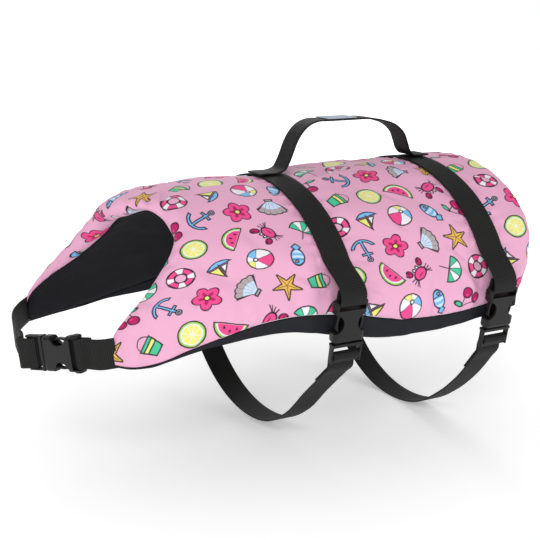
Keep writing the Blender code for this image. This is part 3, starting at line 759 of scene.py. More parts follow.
def citrus(d, colour):
    """Rind, pith and eight segments between thin spokes."""
    colour = d.ink(colour, LIME, d.away - 0.78)
    colour = d.paint(colour, WHITE, d.away - 0.64)
    spokes = 0.07 - d.away * abs((d.turn * 4.0).math("SINE"))
    return d.paint(colour, YELLOW, spokes.math("MAXIMUM", d.away - 0.57))


def blossom(d, colour):
    """Five round petals, a darker throat and a yellow heart."""
    petals = d.away - (d.lobes(5) * 0.30 + 0.56)
    colour = d.ink(colour, HOT_PINK, petals)
    colour = d.paint(colour, MAGENTA, d.away - d.lobes(5) * 0.50)
    return d.ink(colour, YELLOW, d.away - 0.17)


def scallop(d, colour):
    """A fan of ribs round a hinge below the middle, on a small foot."""
    hinge = d.local((0.0, -0.66))
    x, y, _ = d.finish.split(hinge)
    turn = x.math("ARCTAN2", y)
    away = d.finish.vector("LENGTH", hinge, out=1)
    ribs = abs((turn * 9.5).math("COSINE"))
    fan = (away - (ribs * 0.08 + 1.30)).math("MAXIMUM", (abs(turn) - 0.82) * 0.7)
    colour = d.ink(colour, d.finish.mix(d.fill(away - 0.9), GREY, PALE_BLUE), fan)
    grooves = (ribs * away * 0.6 - 0.045).math("MAXIMUM", fan)
    colour = d.paint(colour, INK, grooves.math("MAXIMUM", 0.35 - away))
    return d.ink(colour, GREY, d.slab((0.0, -0.62), (0.24, 0.09)))


# %% Motifs with an upright side
def melon(d, colour):
    """Half a disc in rind, pith and flesh, with three pips."""
    away = d.finish.vector("DISTANCE", d.place, (0.0, 0.38, 0.0), out=1)
    cut = d.y - 0.34
    colour = d.ink(colour, LIME, (away - 0.98).math("MAXIMUM", cut))
    colour = d.paint(colour, WHITE, (away - 0.84).math("MAXIMUM", cut + 0.04))
    colour = d.paint(colour, HOT_PINK, (away - 0.76).math("MAXIMUM", cut + 0.04))
    for x, y in ((-0.36, 0.08), (0.0, -0.10), (0.36, 0.08)):
        colour = d.paint(colour, INK, d.oval((x, y), (0.06, 0.10)))
    return colour


def fish(d, colour):
    """An oval body with curved stripes, a diamond tail and an eye."""
    body = d.oval((-0.14, 0.0), (0.66, 0.40))
    tail = d.slab((0.66, 0.0), (0.21, 0.21), pi / 4)
    colour = d.ink(colour, SKY_BLUE, body.math("MINIMUM", tail))
    stripes = (d.x * 16.0 + d.y * d.y * 9.0).math("SINE") * 0.12
    colour = d.paint(colour, PALE_BLUE, stripes.math("MAXIMUM", body + 0.07).math("MAXIMUM", -0.32 - d.x))
    colour = d.paint(colour, INK, (abs(d.x + 0.32) - 0.03).math("MAXIMUM", body))
    colour = d.ink(colour, WHITE, d.oval((-0.50, 0.08), (0.10, 0.10)))
    return d.paint(colour, INK, d.oval((-0.50, 0.08), (0.04, 0.04)))


def cherries(d, colour):
    """Two fruits on stems that meet under a leaf."""
    colour = d.paint(colour, INK, d.slab((-0.13, 0.30), (0.035, 0.44), -0.56))
    colour = d.paint(colour, INK, d.slab((0.24, 0.34), (0.035, 0.36), 0.36))
    for x, y in ((-0.38, -0.40), (0.38, -0.26)):
        colour = d.ink(colour, MAGENTA, d.oval((x, y), (0.34, 0.34)))
        colour = d.paint(colour, HOT_PINK, d.oval((x - 0.10, y + 0.12), (0.10, 0.06), 0.6))
    return d.ink(colour, TEAL, d.oval((0.42, 0.68), (0.32, 0.15), 0.3))


def parasol(d, colour):
    """A striped half disc on a pole."""
    colour = d.paint(colour, INK, d.slab((0.0, -0.36), (0.035, 0.48)))
    away = d.finish.vector("DISTANCE", d.place, (0.0, -0.12, 0.0), out=1)
    x, y, _ = d.finish.split(d.local((0.0, -0.12)))
    turn = y.math("ARCTAN2", x)
    roof = (away - 0.90).math("MAXIMUM", 0.04 - y)
    stripe = (turn * 5.0).math("SINE")
    colour = d.ink(colour, d.finish.mix(d.fill(stripe), TEAL, WHITE), roof)
    return d.paint(colour, INK, (abs(stripe) * away * 0.3 - 0.03).math("MAXIMUM", roof))


def boat(d, colour):
    """A hull below and two sails on a mast."""
    away = d.finish.vector("DISTANCE", d.place, (0.0, 0.34, 0.0), out=1)
    colour = d.ink(colour, SKY_BLUE, (away - 0.98).math("MAXIMUM", d.y + 0.30))
    colour = d.paint(colour, INK, d.slab((0.0, 0.18), (0.03, 0.62)))
    floor = -0.20 - d.y
    right = (d.x * 0.80 + d.y * 0.58 - 0.44).math("MAXIMUM", 0.07 - d.x)
    left = (d.y * 0.58 - d.x * 0.80 - 0.28).math("MAXIMUM", d.x + 0.07)
    colour = d.ink(colour, YELLOW, right.math("MAXIMUM", floor))
    return d.ink(colour, WHITE, left.math("MAXIMUM", floor))


def pail(d, colour):
    """A bucket that widens upwards, with a stripe and a round handle."""
    handle = abs(d.finish.vector("DISTANCE", d.place, (0.0, 0.34, 0.0), out=1) - 0.44) - 0.03
    colour = d.paint(colour, INK, handle.math("MAXIMUM", 0.34 - d.y))
    side = abs(d.x) - (d.y * 0.20 + 0.46)
    body = side.math("MAXIMUM", abs(d.y + 0.16) - 0.50)
    colour = d.ink(colour, TEAL, body)
    stripe = (abs(d.y + 0.02) - 0.14).math("MAXIMUM", side)
    return d.ink(colour, YELLOW, stripe)


def crab(d, colour):
    """A wide shell on eight bent legs, with two claws and two eyes."""
    for side in (-1, 1):
        for height, lean in ((-0.02, 0.25), (-0.16, -0.1), (-0.28, -0.5), (-0.36, -0.85)):
            colour = d.paint(colour, INK, d.slab((0.58 * side, height), (0.30, 0.035), lean * side))
        claw = d.oval((0.62 * side, 0.52), (0.27, 0.20), 0.9 * side)
        colour = d.ink(colour, MAGENTA, claw)
        colour = d.paint(colour, INK, d.slab((0.62 * side, 0.66), (0.04, 0.14), -0.3 * side))
        colour = d.ink(colour, WHITE, d.oval((0.16 * side, 0.40), (0.10, 0.12)))
    colour = d.ink(colour, HOT_PINK, d.oval((0.0, -0.05), (0.52, 0.36)))
    return d.paint(colour, INK, d.oval((0.0, -0.13), (0.20, 0.035)))


def anchor(d, colour):
    """A ring, a stock, a shank and a curved arm with two flukes."""
    away = d.finish.vector("DISTANCE", d.place, (0.0, 0.10, 0.0), out=1)
    arm = (abs(away - 0.80) - 0.085).math("MAXIMUM", d.y + 0.22)
    shank = d.slab((0.0, 0.02), (0.085, 0.72))
    stock = d.slab((0.0, 0.38), (0.36, 0.075))
    whole = arm.math("MINIMUM", shank).math("MINIMUM", stock)
    colour = d.ink(colour, SKY_BLUE, whole)
    ring = abs(d.finish.vector("DISTANCE", d.place, (0.0, 0.82, 0.0), out=1) - 0.13) - 0.05
    return d.ink(colour, PALE_BLUE, ring)


MOTIFS = (starfish, melon, lifebuoy, fish, blossom, pail, crab, boat, cherries, scallop, citrus, parasol,
          beach_ball, anchor)
print(len(MOTIFS), "motifs")

# %% [markdown]
# A printer's roller repeats one drawing. We lay the motifs on bricks of cloth instead: each brick
# picks its motif by its column and row, and a hash of the two turns it and pushes it about, so
# that neighbours always differ. All this happens in metres on the flat cloth, so the drawings
# keep their size wherever the cloth bends.

# %% The printed cover's finish
BRICK = (0.0320, 0.0298)            # width and height of a brick
MOTIF_RADIUS = 0.0140
JITTER = (0.0044, 0.0022)           # how much the places of motifs vary, across and along
PICK = (5.0, 3.0)                   # steps through the motifs per column and row
HAND = 0.0009                       # how much the drawing hand wanders
HAND_SCALE = 260.0
PATCH_SCALE = 45.0                  # of the paler and darker patches of the ground
PATCH_SHADES = (0.96, 1.03)
THREAD_PITCH = 0.0006
THREAD_DEPTH = 0.00005
WEAVE_STRENGTH = 0.6


def weave_bump(finish, place, pitch, depth):
    """Threads over and under: the product of two sines along the cloth's two directions."""
    u, v, _ = finish.split(place)
    threads = (u * (2 * pi / pitch)).math("SINE") * (v * (2 * pi / pitch)).math("SINE")
    finish.bump(threads, depth, WEAVE_STRENGTH)


def shades(colour, shares):
    """A darker and a lighter shade of a colour."""
    return [tuple(share * c for c in colour) for share in shares]


def print_finish():
    """Bricks by floor(u / width) and floor(v / height): each has a motif, turned and pushed by chance."""
    f = Finish("printed_nylon", Roughness=0.60, Specular_IOR_Level=0.22, Sheen_Weight=0.03)
    place = f.on_cloth()
    hand = f.noise(place, HAND_SCALE, 1.0, out=1)
    wobble = f.vector("MULTIPLY_ADD", hand, (HAND, HAND, 0.0), (-HAND / 2, -HAND / 2, 0.0))
    u, v, _ = f.split(f.vector("ADD", place, wobble))
    row = (v * (1 / BRICK[1])).math("FLOOR")
    across = u * (1 / BRICK[0]) + row.math("MODULO", 2.0) * 0.5
    column = across.math("FLOOR")
    brick = f.node("ShaderNodeCombineXYZ", None, {0: column, 1: row, 2: 0.5})
    chance = f.node("ShaderNodeTexWhiteNoise", {"noise_dimensions": "3D"}, {0: brick}, out=1)
    a, b, c = f.split(chance)
    x = ((across - column - 0.5) * BRICK[0] + (a - 0.5) * JITTER[0]) * (1 / MOTIF_RADIUS)
    y = ((v * (1 / BRICK[1]) - row - 0.5) * BRICK[1] + (b - 0.5) * JITTER[1]) * (1 / MOTIF_RADIUS)
    centred = f.node("ShaderNodeCombineXYZ", None, {0: x, 1: y})
    turn = {"Vector": centred, "Angle": c * (2 * pi)}
    drawing = Drawing(f, f.node("ShaderNodeVectorRotate", {"rotation_type": "Z_AXIS"}, turn))
    number = (column * PICK[0] + row * PICK[1]).math("FLOORED_MODULO", float(len(MOTIFS)))
    ground = f.mix(f.noise(place, PATCH_SCALE, 3.0), *shades(GROUND, PATCH_SHADES))
    colour = ground
    for k, motif in enumerate(MOTIFS):
        chosen = number.math("COMPARE", float(k), 0.5)
        colour = f.mix(chosen, colour, motif(drawing, ground))
    f.set("Base_Color", colour)
    weave_bump(f, place, THREAD_PITCH, THREAD_DEPTH)
    return f


printed = print_finish()
print("print:", len(printed.tree.nodes), "nodes")

# %% [markdown]
# ## The padded cover
# The cover goes round the foam: over the outside, round the rims, and a little way in, where it
# meets the lining. So it is one closed padded form, on the wall's grid, with the relief on its outer
# face alone. The print goes on round the rims without a break, as it does on cloth that is turned in.

# %% The cover
def print_places(front, back):
    """Where the print lies along the cloth: X on the face, then the distance walked round each rim."""
    face = wall["point"][..., 0].copy()
    walk = np.linalg.norm(np.diff(front, axis=0), axis=2)
    face[:RIM_STEPS] = face[RIM_STEPS] - np.cumsum(walk[RIM_STEPS - 1::-1], axis=0)[::-1]
    face[-RIM_STEPS:] = face[-RIM_STEPS - 1] + np.cumsum(walk[-RIM_STEPS:], axis=0)
    walk = np.linalg.norm(np.diff(back, axis=0), axis=2)
    half = len(face) // 2
    edge = np.zeros((1, face.shape[1]))
    to_front = np.concatenate([edge, np.cumsum(walk[:half - 1], axis=0)])
    to_rear = np.concatenate([np.cumsum(walk[half:][::-1], axis=0)[::-1], edge])
    return face, np.concatenate([face[:1] - to_front, face[-1:] + to_rear])


def make_cover():
    """Outer face: middle + normal * (half the wall + relief), less the sag. Inner face: the other half."""
    front = middle + reach + wall["normal"] * (relief * wall["full"])[..., None]
    front[..., 2] -= sag * wall["full"]
    back = middle - reach
    front_uv, back_uv = (np.stack([flat, wall["around"]], -1) for flat in print_places(front, back))
    cover = outward(closed_sheet("cover", front, back, front_uv, back_uv, printed,
                                 ("outer_shell",)))
    return cover


cover = make_cover()
print("cover:", len(cover.data.polygons), "faces")

# %% [markdown]
# ## Dark cloth: the lining and the strips under the hem
# Both are plain bluish-black nylon. The lining is cut like the shell but a little smaller, so it is
# stretched over the foam's inner face, with short puckers at the rim and a few long soft folds on
# each side. The strips are flat and hang from the middle of the hem.

# %% Dark nylon
WORN_SCALE = 60.0
WORN_SHADES = (0.8, 1.35)


def dark_finish(name, colour, roughness, pitch):
    """Plain dark nylon: worn patches in its colour, and a weave in its bump."""
    f = Finish(name, Roughness=roughness, Specular_IOR_Level=0.14)
    place = f.on_cloth()
    worn = f.noise(place, WORN_SCALE, 3.0)
    f.set("Base_Color", f.mix(worn, *shades(colour, WORN_SHADES)))
    weave_bump(f, place, pitch, depth=0.00006)
    return f


lining_finish = dark_finish("dark_lining", (0.0095, 0.0097, 0.0125), roughness=0.72, pitch=0.0008)
strip_finish = dark_finish("hem_nylon", (0.0125, 0.0130, 0.0175), roughness=0.60, pitch=0.0010)
print("dark cloth:", lining_finish.material.name, "and", strip_finish.material.name)

# %% The lining
LINING_COLUMNS = 120
# The front edge lies start columns of the wall behind its rim, and tip columns from a share on.
ROLL = {"start": 2.5, "tip": -6.0, "from": 0.62, "over": 0.30}
LINING_PUCKER = 0.0006
LINING_PUCKER_LENGTH = 0.024
LINING_PUCKER_PHASE = 0.8
LINING_PUCKER_REACH = 0.012
LINING_RIDGE = 0.4
# Each fold on both sides, as a crease of the cover turned inwards.
LINING_FOLDS = (
    (-0.150, 0.030, -0.085, 0.105, 0.0080, 0.0022),
    (-0.130, 0.070, -0.060, 0.125, 0.0070, 0.0012),
    (-0.060, 0.020, -0.010, 0.090, 0.0090, 0.0012),
    (0.140, 0.030, 0.205, 0.085, 0.0080, 0.0018),
    (0.110, 0.090, 0.190, 0.130, 0.0070, 0.0012),
)


def sheet_growth(shape):
    """0 on the border of a grid and 1 inside it, so that a sheet's two faces meet at its edges."""
    grow = np.ones(shape)
    grow[[0, -1]] = 0
    grow[:, [0, -1]] = 0
    return grow[..., None]


def lining_part(field):
    """Read a field of the wall at the lining's places: even columns between the rims, each second row."""
    share = wall["share"][0, 1:-1:2]
    to_tip = ramp(share - ROLL["from"], ROLL["over"])
    start = RIM_STEPS + ROLL["start"] + (ROLL["tip"] - ROLL["start"]) * to_tip
    stop = wall["share"].shape[0] - 1 - RIM_STEPS
    column = start + (stop - start) * np.linspace(0, 1, LINING_COLUMNS)[:, None]
    low = np.clip(column.astype(int), 0, stop - 1)
    rows = np.arange(1, wall["share"].shape[1] - 1, 2)[None, :]
    rest = column - low
    if field.ndim == 3:
        rest = rest[..., None]
    return field[low, rows] * (1 - rest) + field[low + 1, rows] * rest


def make_lining():
    """The inner face of the wall between its rims, moved in by the seam, then by folds and puckers."""
    cloth = lining_part(middle - reach)
    normal = unit(np.cross(np.gradient(cloth, axis=0), np.gradient(cloth, axis=1)))
    normal = -normal * np.sign(np.sum(normal * lining_part(wall["normal"]), axis=-1, keepdims=True))
    x = cloth[..., 0]
    around = lining_part(wall["around"])
    way = np.abs(around)
    folds = sum(-trough(x, way, line, LINING_RIDGE) for line in LINING_FOLDS)
    rim = np.exp(-np.clip(lining_part(wall["from_end"]) - RIM, 0, None) / LINING_PUCKER_REACH)
    gathers = LINING_PUCKER * (1 + wave(around, LINING_PUCKER_LENGTH, LINING_PUCKER_PHASE)) * rim
    lift = (np.clip(folds, 0, None) + gathers)[..., None]
    front = cloth + normal * SEAM
    back = front + normal * (lift + LINING) * sheet_growth(x.shape)
    front = front + normal * lift * sheet_growth(x.shape)
    flat = np.stack([x, around], -1)
    made = outward(closed_sheet("lining_cloth", back, front, flat, flat, lining_finish,
                                ("lining",)))
    size = (x.max() - x.min(), 2 * way.max())
    steps = np.linalg.norm(np.cross(np.diff(cloth, axis=0)[:, :-1], np.diff(cloth, axis=1)[:-1]), axis=-1)
    return made, size, steps.sum()


lining_cloth, lining_cut, lining_area = make_lining()
print("lining cut", np.round(lining_cut, 3).tolist(), "m, area", round(float(lining_area), 4), "m2")

# %% The strips under the hem
# Along X: how deep a strip hangs below the hem.
BANDS = {
    "x":    (-0.210, -0.160, -0.120, -0.085, -0.048, 0.020, 0.080, 0.140, 0.218),
    "drop": (0.0012, 0.0015, 0.004, 0.009, 0.0135, 0.0200, 0.0145, 0.0125, 0.0115),
}
BAND = 0.002                        # thickness of a strip
BAND_TUCK = 0.12                    # slope of a strip in towards the belly
BAND_ROWS = 12
BAND_SWING = 0.0005
BAND_WAVE = 0.046
BAND_PHASE = 1.7


def make_strip(side):
    """Cloth from the hem's middle line down: a straight ruled strip with a slow wave in it."""
    line = middle[:, 0 if side == "near" else -1]
    down = unit(np.array([0.0, -SIDES[side] * BAND_TUCK, -1.0]))
    normal = unit(np.array([0.0, SIDES[side], -BAND_TUCK]))
    drop = smooth(BANDS, "x", "drop", line[:, 0])
    at = np.linspace(0, 1, BAND_ROWS)
    cloth = line[:, None] + down * (SEAM + drop[:, None, None] * at[None, :, None])
    swing = BAND_SWING * wave(line[:, 0], BAND_WAVE, BAND_PHASE)[:, None] * at
    cloth = cloth + normal * swing[..., None]
    half = normal * BAND / 2 * sheet_growth(cloth.shape[:2])
    flat = np.stack([np.broadcast_to(line[:, :1], swing.shape), drop[:, None] * at], -1)
    name = "hem_strip_" + side
    made = outward(closed_sheet(name, cloth + half, cloth - half, flat, flat, strip_finish,
                                ("hem_band_" + side,)))
    run = np.linalg.norm(np.diff(line, axis=0), axis=1)
    area = float(np.sum(run * (drop[1:] + drop[:-1]) / 2))
    return made


strips = [make_strip(side) for side in SIDES]

# %% [markdown]
# ## Webbing
# Nylon webbing is woven with ribs across its width, 1.45 mm apart, between two firm edges. A strap
# is its section carried along a route: a flat bar with round edges, whose faces rise and fall
# with the ribs. We bend real ribs into the mesh, because light catches them wherever it turns.

# %% Webbing and its finish
RIB = 0.00145                       # from one rib to the next
RIB_STEPS = 4                       # stations to a rib
RIB_HEIGHT = 0.00022
YARN = 0.0011                       # from one yarn to the next, across the webbing
FUZZ_SCALE = 900.0
FUZZ = 0.4                          # share of the fuzz in the colour and in the bump
EDGE_POINTS = 5
FACE_POINTS = 7


def webbing_finish():
    """Painted highlight on each rib's crest and painted shade between the ribs, with yarns and fuzz in its
    bump.
    """
    f = Finish("black_webbing", Roughness=0.55, Specular_IOR_Level=0.16)
    place = f.on_cloth()
    u, v, _ = f.split(place)
    yarn = abs((u * (pi / YARN)).math("SINE"))
    rib = (v * (2 * pi / RIB)).math("COSINE") * 0.5 + 0.5
    fuzz = f.noise(place, FUZZ_SCALE)
    # The colour goes from painted shade between the ribs to a painted highlight on each rib's crest.
    dark = f.mix(rib, (0.0026, 0.0025, 0.0024), (0.0200, 0.0192, 0.0185))
    f.set("Base_Color", f.mix(fuzz * FUZZ, dark, (0.018, 0.017, 0.017)))
    f.bump(yarn * (1 - FUZZ) + fuzz * FUZZ, distance=0.00012, strength=0.7)
    return f


def profile(width, thick):
    """Ring of (across, up) points and how much each one rises with the ribs."""
    radius = thick / 2
    bend = np.linspace(-pi / 2, pi / 2, EDGE_POINTS)
    face = np.linspace(-1, 1, FACE_POINTS + 2)[1:-1] * (width / 2 - radius)
    right = np.stack([width / 2 - radius + radius * np.cos(bend), radius * np.sin(bend)], 1)
    top = np.stack([face[::-1], np.full(FACE_POINTS, radius)], 1)
    ring = np.concatenate([right, top, -right, -top])
    still, up = np.zeros(EDGE_POINTS), np.ones(FACE_POINTS)
    return ring, np.concatenate([still, up, still, -up])


def resample(route, across, step):
    """Stations at even steps along a smooth curve through a route's points."""
    run = np.concatenate([[0], np.cumsum(np.linalg.norm(np.diff(route, axis=0), axis=1))])
    at = np.linspace(0, run[-1], int(np.ceil(run[-1] / step)) + 1)
    table = {"run": run, "x": route[:, 0], "y": route[:, 1], "z": route[:, 2]}
    centres = np.stack([smooth(table, "run", key, at) for key in "xyz"], -1)
    across = np.stack([np.interp(at, run, across[:, k]) for k in range(3)], -1)
    return centres, unit(across), at


def ribbon(name, route, across, finish, replaces, width=WEB_WIDTH, thick=WEB, rib=RIB_HEIGHT):
    """Carry the webbing's section along a route; across gives its width direction."""
    route = np.asarray(route, dtype=float)
    across = np.broadcast_to(np.asarray(across, dtype=float), route.shape)
    centres, across, at = resample(route, across, RIB / RIB_STEPS)
    tangent = unit(np.gradient(centres, axis=0))
    normal = unit(np.cross(tangent, across))
    across = unit(np.cross(normal, tangent))
    ring, rise = profile(width, thick)
    lift = rib * 0.5 * (np.cos(2 * pi * at / RIB) - 1)[:, None] * rise
    high = ring[:, 1:] + lift[..., None]
    points = centres[:, None] + across[:, None] * ring[:, :1] + normal[:, None] * high
    count, size = len(at), len(ring)
    index = np.arange(count * size).reshape(count, size)
    turned = np.roll(index, -1, axis=1)
    sides = np.stack([index[:-1], index[1:], turned[1:], turned[:-1]], -1).reshape(-1, 4)
    uv = np.stack(np.broadcast_arrays(ring[:, 0], at[:, None]), -1).reshape(-1, 2)
    caps = [index[0][None], index[-1][::-1][None]]
    return outward(add_piece(name, points.reshape(-1, 3), [sides] + caps, finish, replaces, uv))


webbing = webbing_finish()
print("webbing:", len(webbing.tree.nodes), "nodes, ribs", round(RIB * 1000, 2), "mm apart")

# %% [markdown]
# ## Routes of the straps
# Each strap starts sewn round the bar of a buckle half, lies over the foam to the far hem, and
# goes on below as the belly strap, which comes back through the ladder of the other buckle half.
# A buckle has its own axes: along it, across it and up through it, and the loops are drawn in
# side view in those axes.

# %% Buckle axes, loops and ladders
FEMALE_LENGTH = 0.038
MALE_LENGTH = 0.0185
BAR = 0.0030                        # width of a bar along the buckle
BAR_HEIGHT = 0.0026
LADDER_SLOT = 0.0016                # between the male half's bars
MOUTH_GAP = 0.0008                  # between the two halves
STAND_OFF = 0.0088                  # height of a side buckle's middle over the shell
SIDE_BAR_Z = {"front": -0.0872, "rear": -0.0955}
TUCK = 0.19                         # slope of a side buckle in towards the belly
TAIL = 0.026                        # free end of the webbing behind a ladder
LOOP_END = 0.010                    # end of a sewn loop, from the bar back along the strap
LADDER_LEAD = 0.008                 # straight webbing beside a ladder
TURN_RADIUS = np.hypot(BAR, BAR_HEIGHT) / 2 + 2 * SEAM + WEB / 2


def buckle_axes(bar, end, outside):
    """Start and the three directions of a buckle that runs from its bar towards its end."""
    along = unit(np.array(end) - np.array(bar))
    across = unit(np.cross(along, np.array(outside)))
    return {"bar": np.array(bar), "along": along, "across": across, "up": np.cross(across, along)}


def side_view(flat, axes):
    """Points in space from (along, up) pairs."""
    flat = np.array(flat)
    return axes["bar"] + flat[:, :1] * axes["along"] + flat[:, 1:] * axes["up"]


def arc(centre, start, end, steps):
    """Points of the webbing's middle as it turns round a bar."""
    turn = np.linspace(start, end, steps)
    return np.stack([centre + TURN_RADIUS * np.cos(turn), TURN_RADIUS * np.sin(turn)], -1)


def loop_view(lead):
    """Webbing that comes in over a bar, turns half round it, and goes back below."""
    bend = arc(0, pi / 2, -pi / 2, 9)
    return np.concatenate([[(-lead, TURN_RADIUS)], bend, [(-LOOP_END, -TURN_RADIUS)]])


def ladder_bars():
    """Places of the male half's two bars along the buckle."""
    last = -BAR / 2 + FEMALE_LENGTH + MOUTH_GAP + MALE_LENGTH - BAR / 2
    return last - BAR - LADDER_SLOT, last


def ladder_view():
    """Webbing that comes past the end bar, over the first bar, and back behind itself."""
    first, last = ladder_bars()
    lower = TURN_RADIUS + WEB + SEAM
    enter = [(last + LADDER_LEAD, -TURN_RADIUS), (last + 0.0005, -TURN_RADIUS),
             (last - 0.0018, -TURN_RADIUS + 0.0012)]
    over = arc(first, 0.20 * pi, 1.0 * pi, 6)
    under = arc(first, 1.15 * pi, 1.40 * pi, 2)
    leave = [(first + 0.0030, -lower + 0.0004), (last + 0.001, -lower), (last + LADDER_LEAD, -lower)]
    return np.concatenate([enter, over, under, leave])


def tail_along(route, start):
    """Free end that follows a route at the distance at which it starts from it."""
    run = np.concatenate([[0], np.cumsum(np.linalg.norm(np.diff(route, axis=0), axis=1))])
    at = np.linspace(0, TAIL, 5)[1:]
    follow = np.stack([np.interp(at, run, route[:, k]) for k in range(3)], -1)
    return follow + (start - route[0])


def curve_through(table, keys, count):
    """Evenly spread points on a smooth curve through a table's rows."""
    rows = {key: np.array(table[key]) for key in keys}
    steps = np.sqrt(sum(np.diff(rows[key]) ** 2 for key in keys))
    rows["run"] = np.concatenate([[0], np.cumsum(steps)])
    at = np.linspace(0, rows["run"][-1], count)
    return np.stack([smooth(rows, "run", key, at) for key in keys], -1)


# %% The two straps over the back and under the belly
NEAR_END = 0.710                    # share of the way to the hem where the strap leaves the foam
FAR_END = 0.94                      # and on the far side, just above the hem
BACK_STEPS = 40
SKIN_STEPS = 60                     # places at which the widest point of the skin is looked for
SIDE_LEAD = 0.004                   # straight webbing over a side buckle's first bar
BELLY_POINTS = 28
# From the far hem down and round under the belly, with heights over BACK.
BELLY = {
    "front": {
        "y": (0.1385, 0.1395, 0.1370, 0.1260, 0.0980, 0.0600, 0.0180, -0.0210, -0.0570, -0.0860),
        "z": (-0.0960, -0.1120, -0.1440, -0.1810, -0.2100, -0.2300, -0.2370, -0.2315, -0.2110, -0.1830),
    },
    "rear": {
        "y": (0.1395, 0.1395, 0.1340, 0.1180, 0.0880, 0.0450, 0.0050, -0.0350, -0.0720, -0.1000),
        "z": (-0.0960, -0.1120, -0.1480, -0.1860, -0.2180, -0.2390, -0.2440, -0.2370, -0.2150, -0.1900),
    },
}
BELLY_SHIFT = {"front": -0.015, "rear": 0.0}    # along X, at the far hem


def over_back(strap):
    """Middle and width direction of a strap on the skin, from the near side to the far hem."""
    shares = {"near": np.linspace(NEAR_END, 0, BACK_STEPS)[:-1],
              "far": np.linspace(0, FAR_END, BACK_STEPS)}
    edges = []
    for half in (-1, 1):
        line = []
        for side, share in shares.items():
            z = skin(np.zeros_like(share), share, side)[:, 2]
            line.append(skin(strap_x(strap, z) + half * WEB_WIDTH / 2, share, side))
        edges.append(np.concatenate(line))
    centre = (edges[0] + edges[1]) / 2
    across = unit(edges[1] - edges[0])
    normal = unit(np.cross(across, np.gradient(centre, axis=0)))
    normal = normal * np.sign(normal[BACK_STEPS, 2])
    return centre + normal * (STRAP_LIFT + WEB / 2), across


def make_side_strap(strap):
    """A sewn loop and the way over the back, then the way below, through the ladder, to the free end."""
    centre, lie = over_back(strap)
    share = np.linspace(0, 1, SKIN_STEPS)
    z = skin(np.zeros_like(share), share, "near")[:, 2]
    widest = skin(strap_x(strap, z), share, "near")[:, 1].min()
    bar = np.array([centre[0][0], widest - STAND_OFF, BACK + SIDE_BAR_Z[strap]])
    axes = buckle_axes(bar, bar + unit(np.array([0.0, TUCK, -1.0])), (0.0, -1.0, 0.0))
    loop = side_view(loop_view(SIDE_LEAD), axes)[::-1]
    wide = np.array([1.0, 0.0, 0.0])
    lie = np.concatenate([np.broadcast_to(wide, loop.shape), lie])
    ribbon("webbing_over_" + strap, np.concatenate([loop, centre]), lie, webbing,
           ("strap_" + strap,))
    ladder = side_view(ladder_view(), axes)
    rows = {"y": BELLY[strap]["y"] + (ladder[0][1],), "z": BELLY[strap]["z"] + (ladder[0][2] - BACK,)}
    belly = curve_through(rows, ("y", "z"), BELLY_POINTS)[:-1]
    x = bar[0] + BELLY_SHIFT[strap] * np.linspace(1, 0, len(belly))
    belly = np.concatenate([x[:, None], belly + np.array([0.0, BACK])], 1)
    tail = tail_along(np.concatenate([belly, ladder[:1]])[::-1], ladder[-1])
    ribbon("webbing_under_" + strap, np.concatenate([belly, ladder, tail]), wide, webbing,
           ("belly_strap_" + strap,))
    return axes


side_axes = {strap: make_side_strap(strap) for strap in STRAP_X}
print("side buckles at", [np.round(axes["bar"], 3).tolist() for axes in side_axes.values()])

# %% [markdown]
# ## The chest strap
# Two short ends of webbing come out of the flap tips. The near one is sewn round its buckle's
# bar, and the far one is laced through the ladder, with its free end laid back along itself.

# %% Chest webbing
CHEST_LEAD = 0.001                  # straight webbing over the chest buckle's first bar
CHEST_POINTS = {"near": 6, "far": 18}
# Heights are over BACK here too. Bar and end give the buckle's own line.
CHEST_NEAR = {"x": (-0.1870, -0.1975, -0.2062), "y": (-0.0985, -0.0935, -0.0812),
              "z": (-0.1135, -0.1150, -0.1165)}
CHEST_BAR = (-0.2089, -0.0765, -0.1172)
CHEST_END = (-0.2358, -0.0300, -0.1252)
CHEST_FAR = {"x": (-0.2380, -0.2375, -0.2335, -0.2265, -0.2175, -0.2030),
             "y": (-0.0180, 0.0060, 0.0310, 0.0540, 0.0730, 0.0995),
             "z": (-0.1258, -0.1250, -0.1240, -0.1240, -0.1245, -0.1265)}


def turn_to(across, free, held):
    """Width directions that start upright and end true to the buckle."""
    across = across * np.sign(across[2])
    share = np.concatenate([np.linspace(0, 1, free), np.ones(held)])[:, None]
    return np.array([0.0, 0.0, 1.0]) * (1 - share) + across * share


def make_chest_strap():
    """The near end, sewn round its bar, and the far end, laced through the ladder."""
    rise = np.array([0.0, 0.0, BACK])
    bar, end = np.array(CHEST_BAR) + rise, np.array(CHEST_END) + rise
    axes = buckle_axes(bar, end, (bar[1] - end[1], end[0] - bar[0], 0.0))
    near = curve_through(CHEST_NEAR, ("x", "y", "z"), CHEST_POINTS["near"]) + rise
    loop = side_view(loop_view(CHEST_LEAD), axes)
    ribbon("chest_strap_near", np.concatenate([near, loop]), turn_to(axes["across"], len(near), len(loop)),
           webbing, ("chest_webbing_near",))
    ladder = side_view(ladder_view() * np.array([1.0, -1.0]), axes)
    rows = {key: (ladder[0][k] - rise[k],) + CHEST_FAR[key] for k, key in enumerate("xyz")}
    far = curve_through(rows, ("x", "y", "z"), CHEST_POINTS["far"])[1:][::-1] + rise
    tail = tail_along(np.concatenate([ladder[:1], far[::-1]]), ladder[-1])
    wide = turn_to(axes["across"], len(far), len(ladder))
    wide = np.concatenate([wide, wide[len(far) - 1:len(far) - 1 - len(tail):-1]])
    ribbon("chest_strap_far", np.concatenate([far, ladder, tail]), wide, webbing,
           ("chest_webbing_far",))
    return axes


chest_axes = make_chest_strap()
print("chest buckle at", np.round(chest_axes["bar"], 3).tolist())

# %% [markdown]
# ## The grab handle and its patch
# The handle is the same webbing, sewn flat on both straps and standing up between them. A plain
# pale patch is sewn on its top.

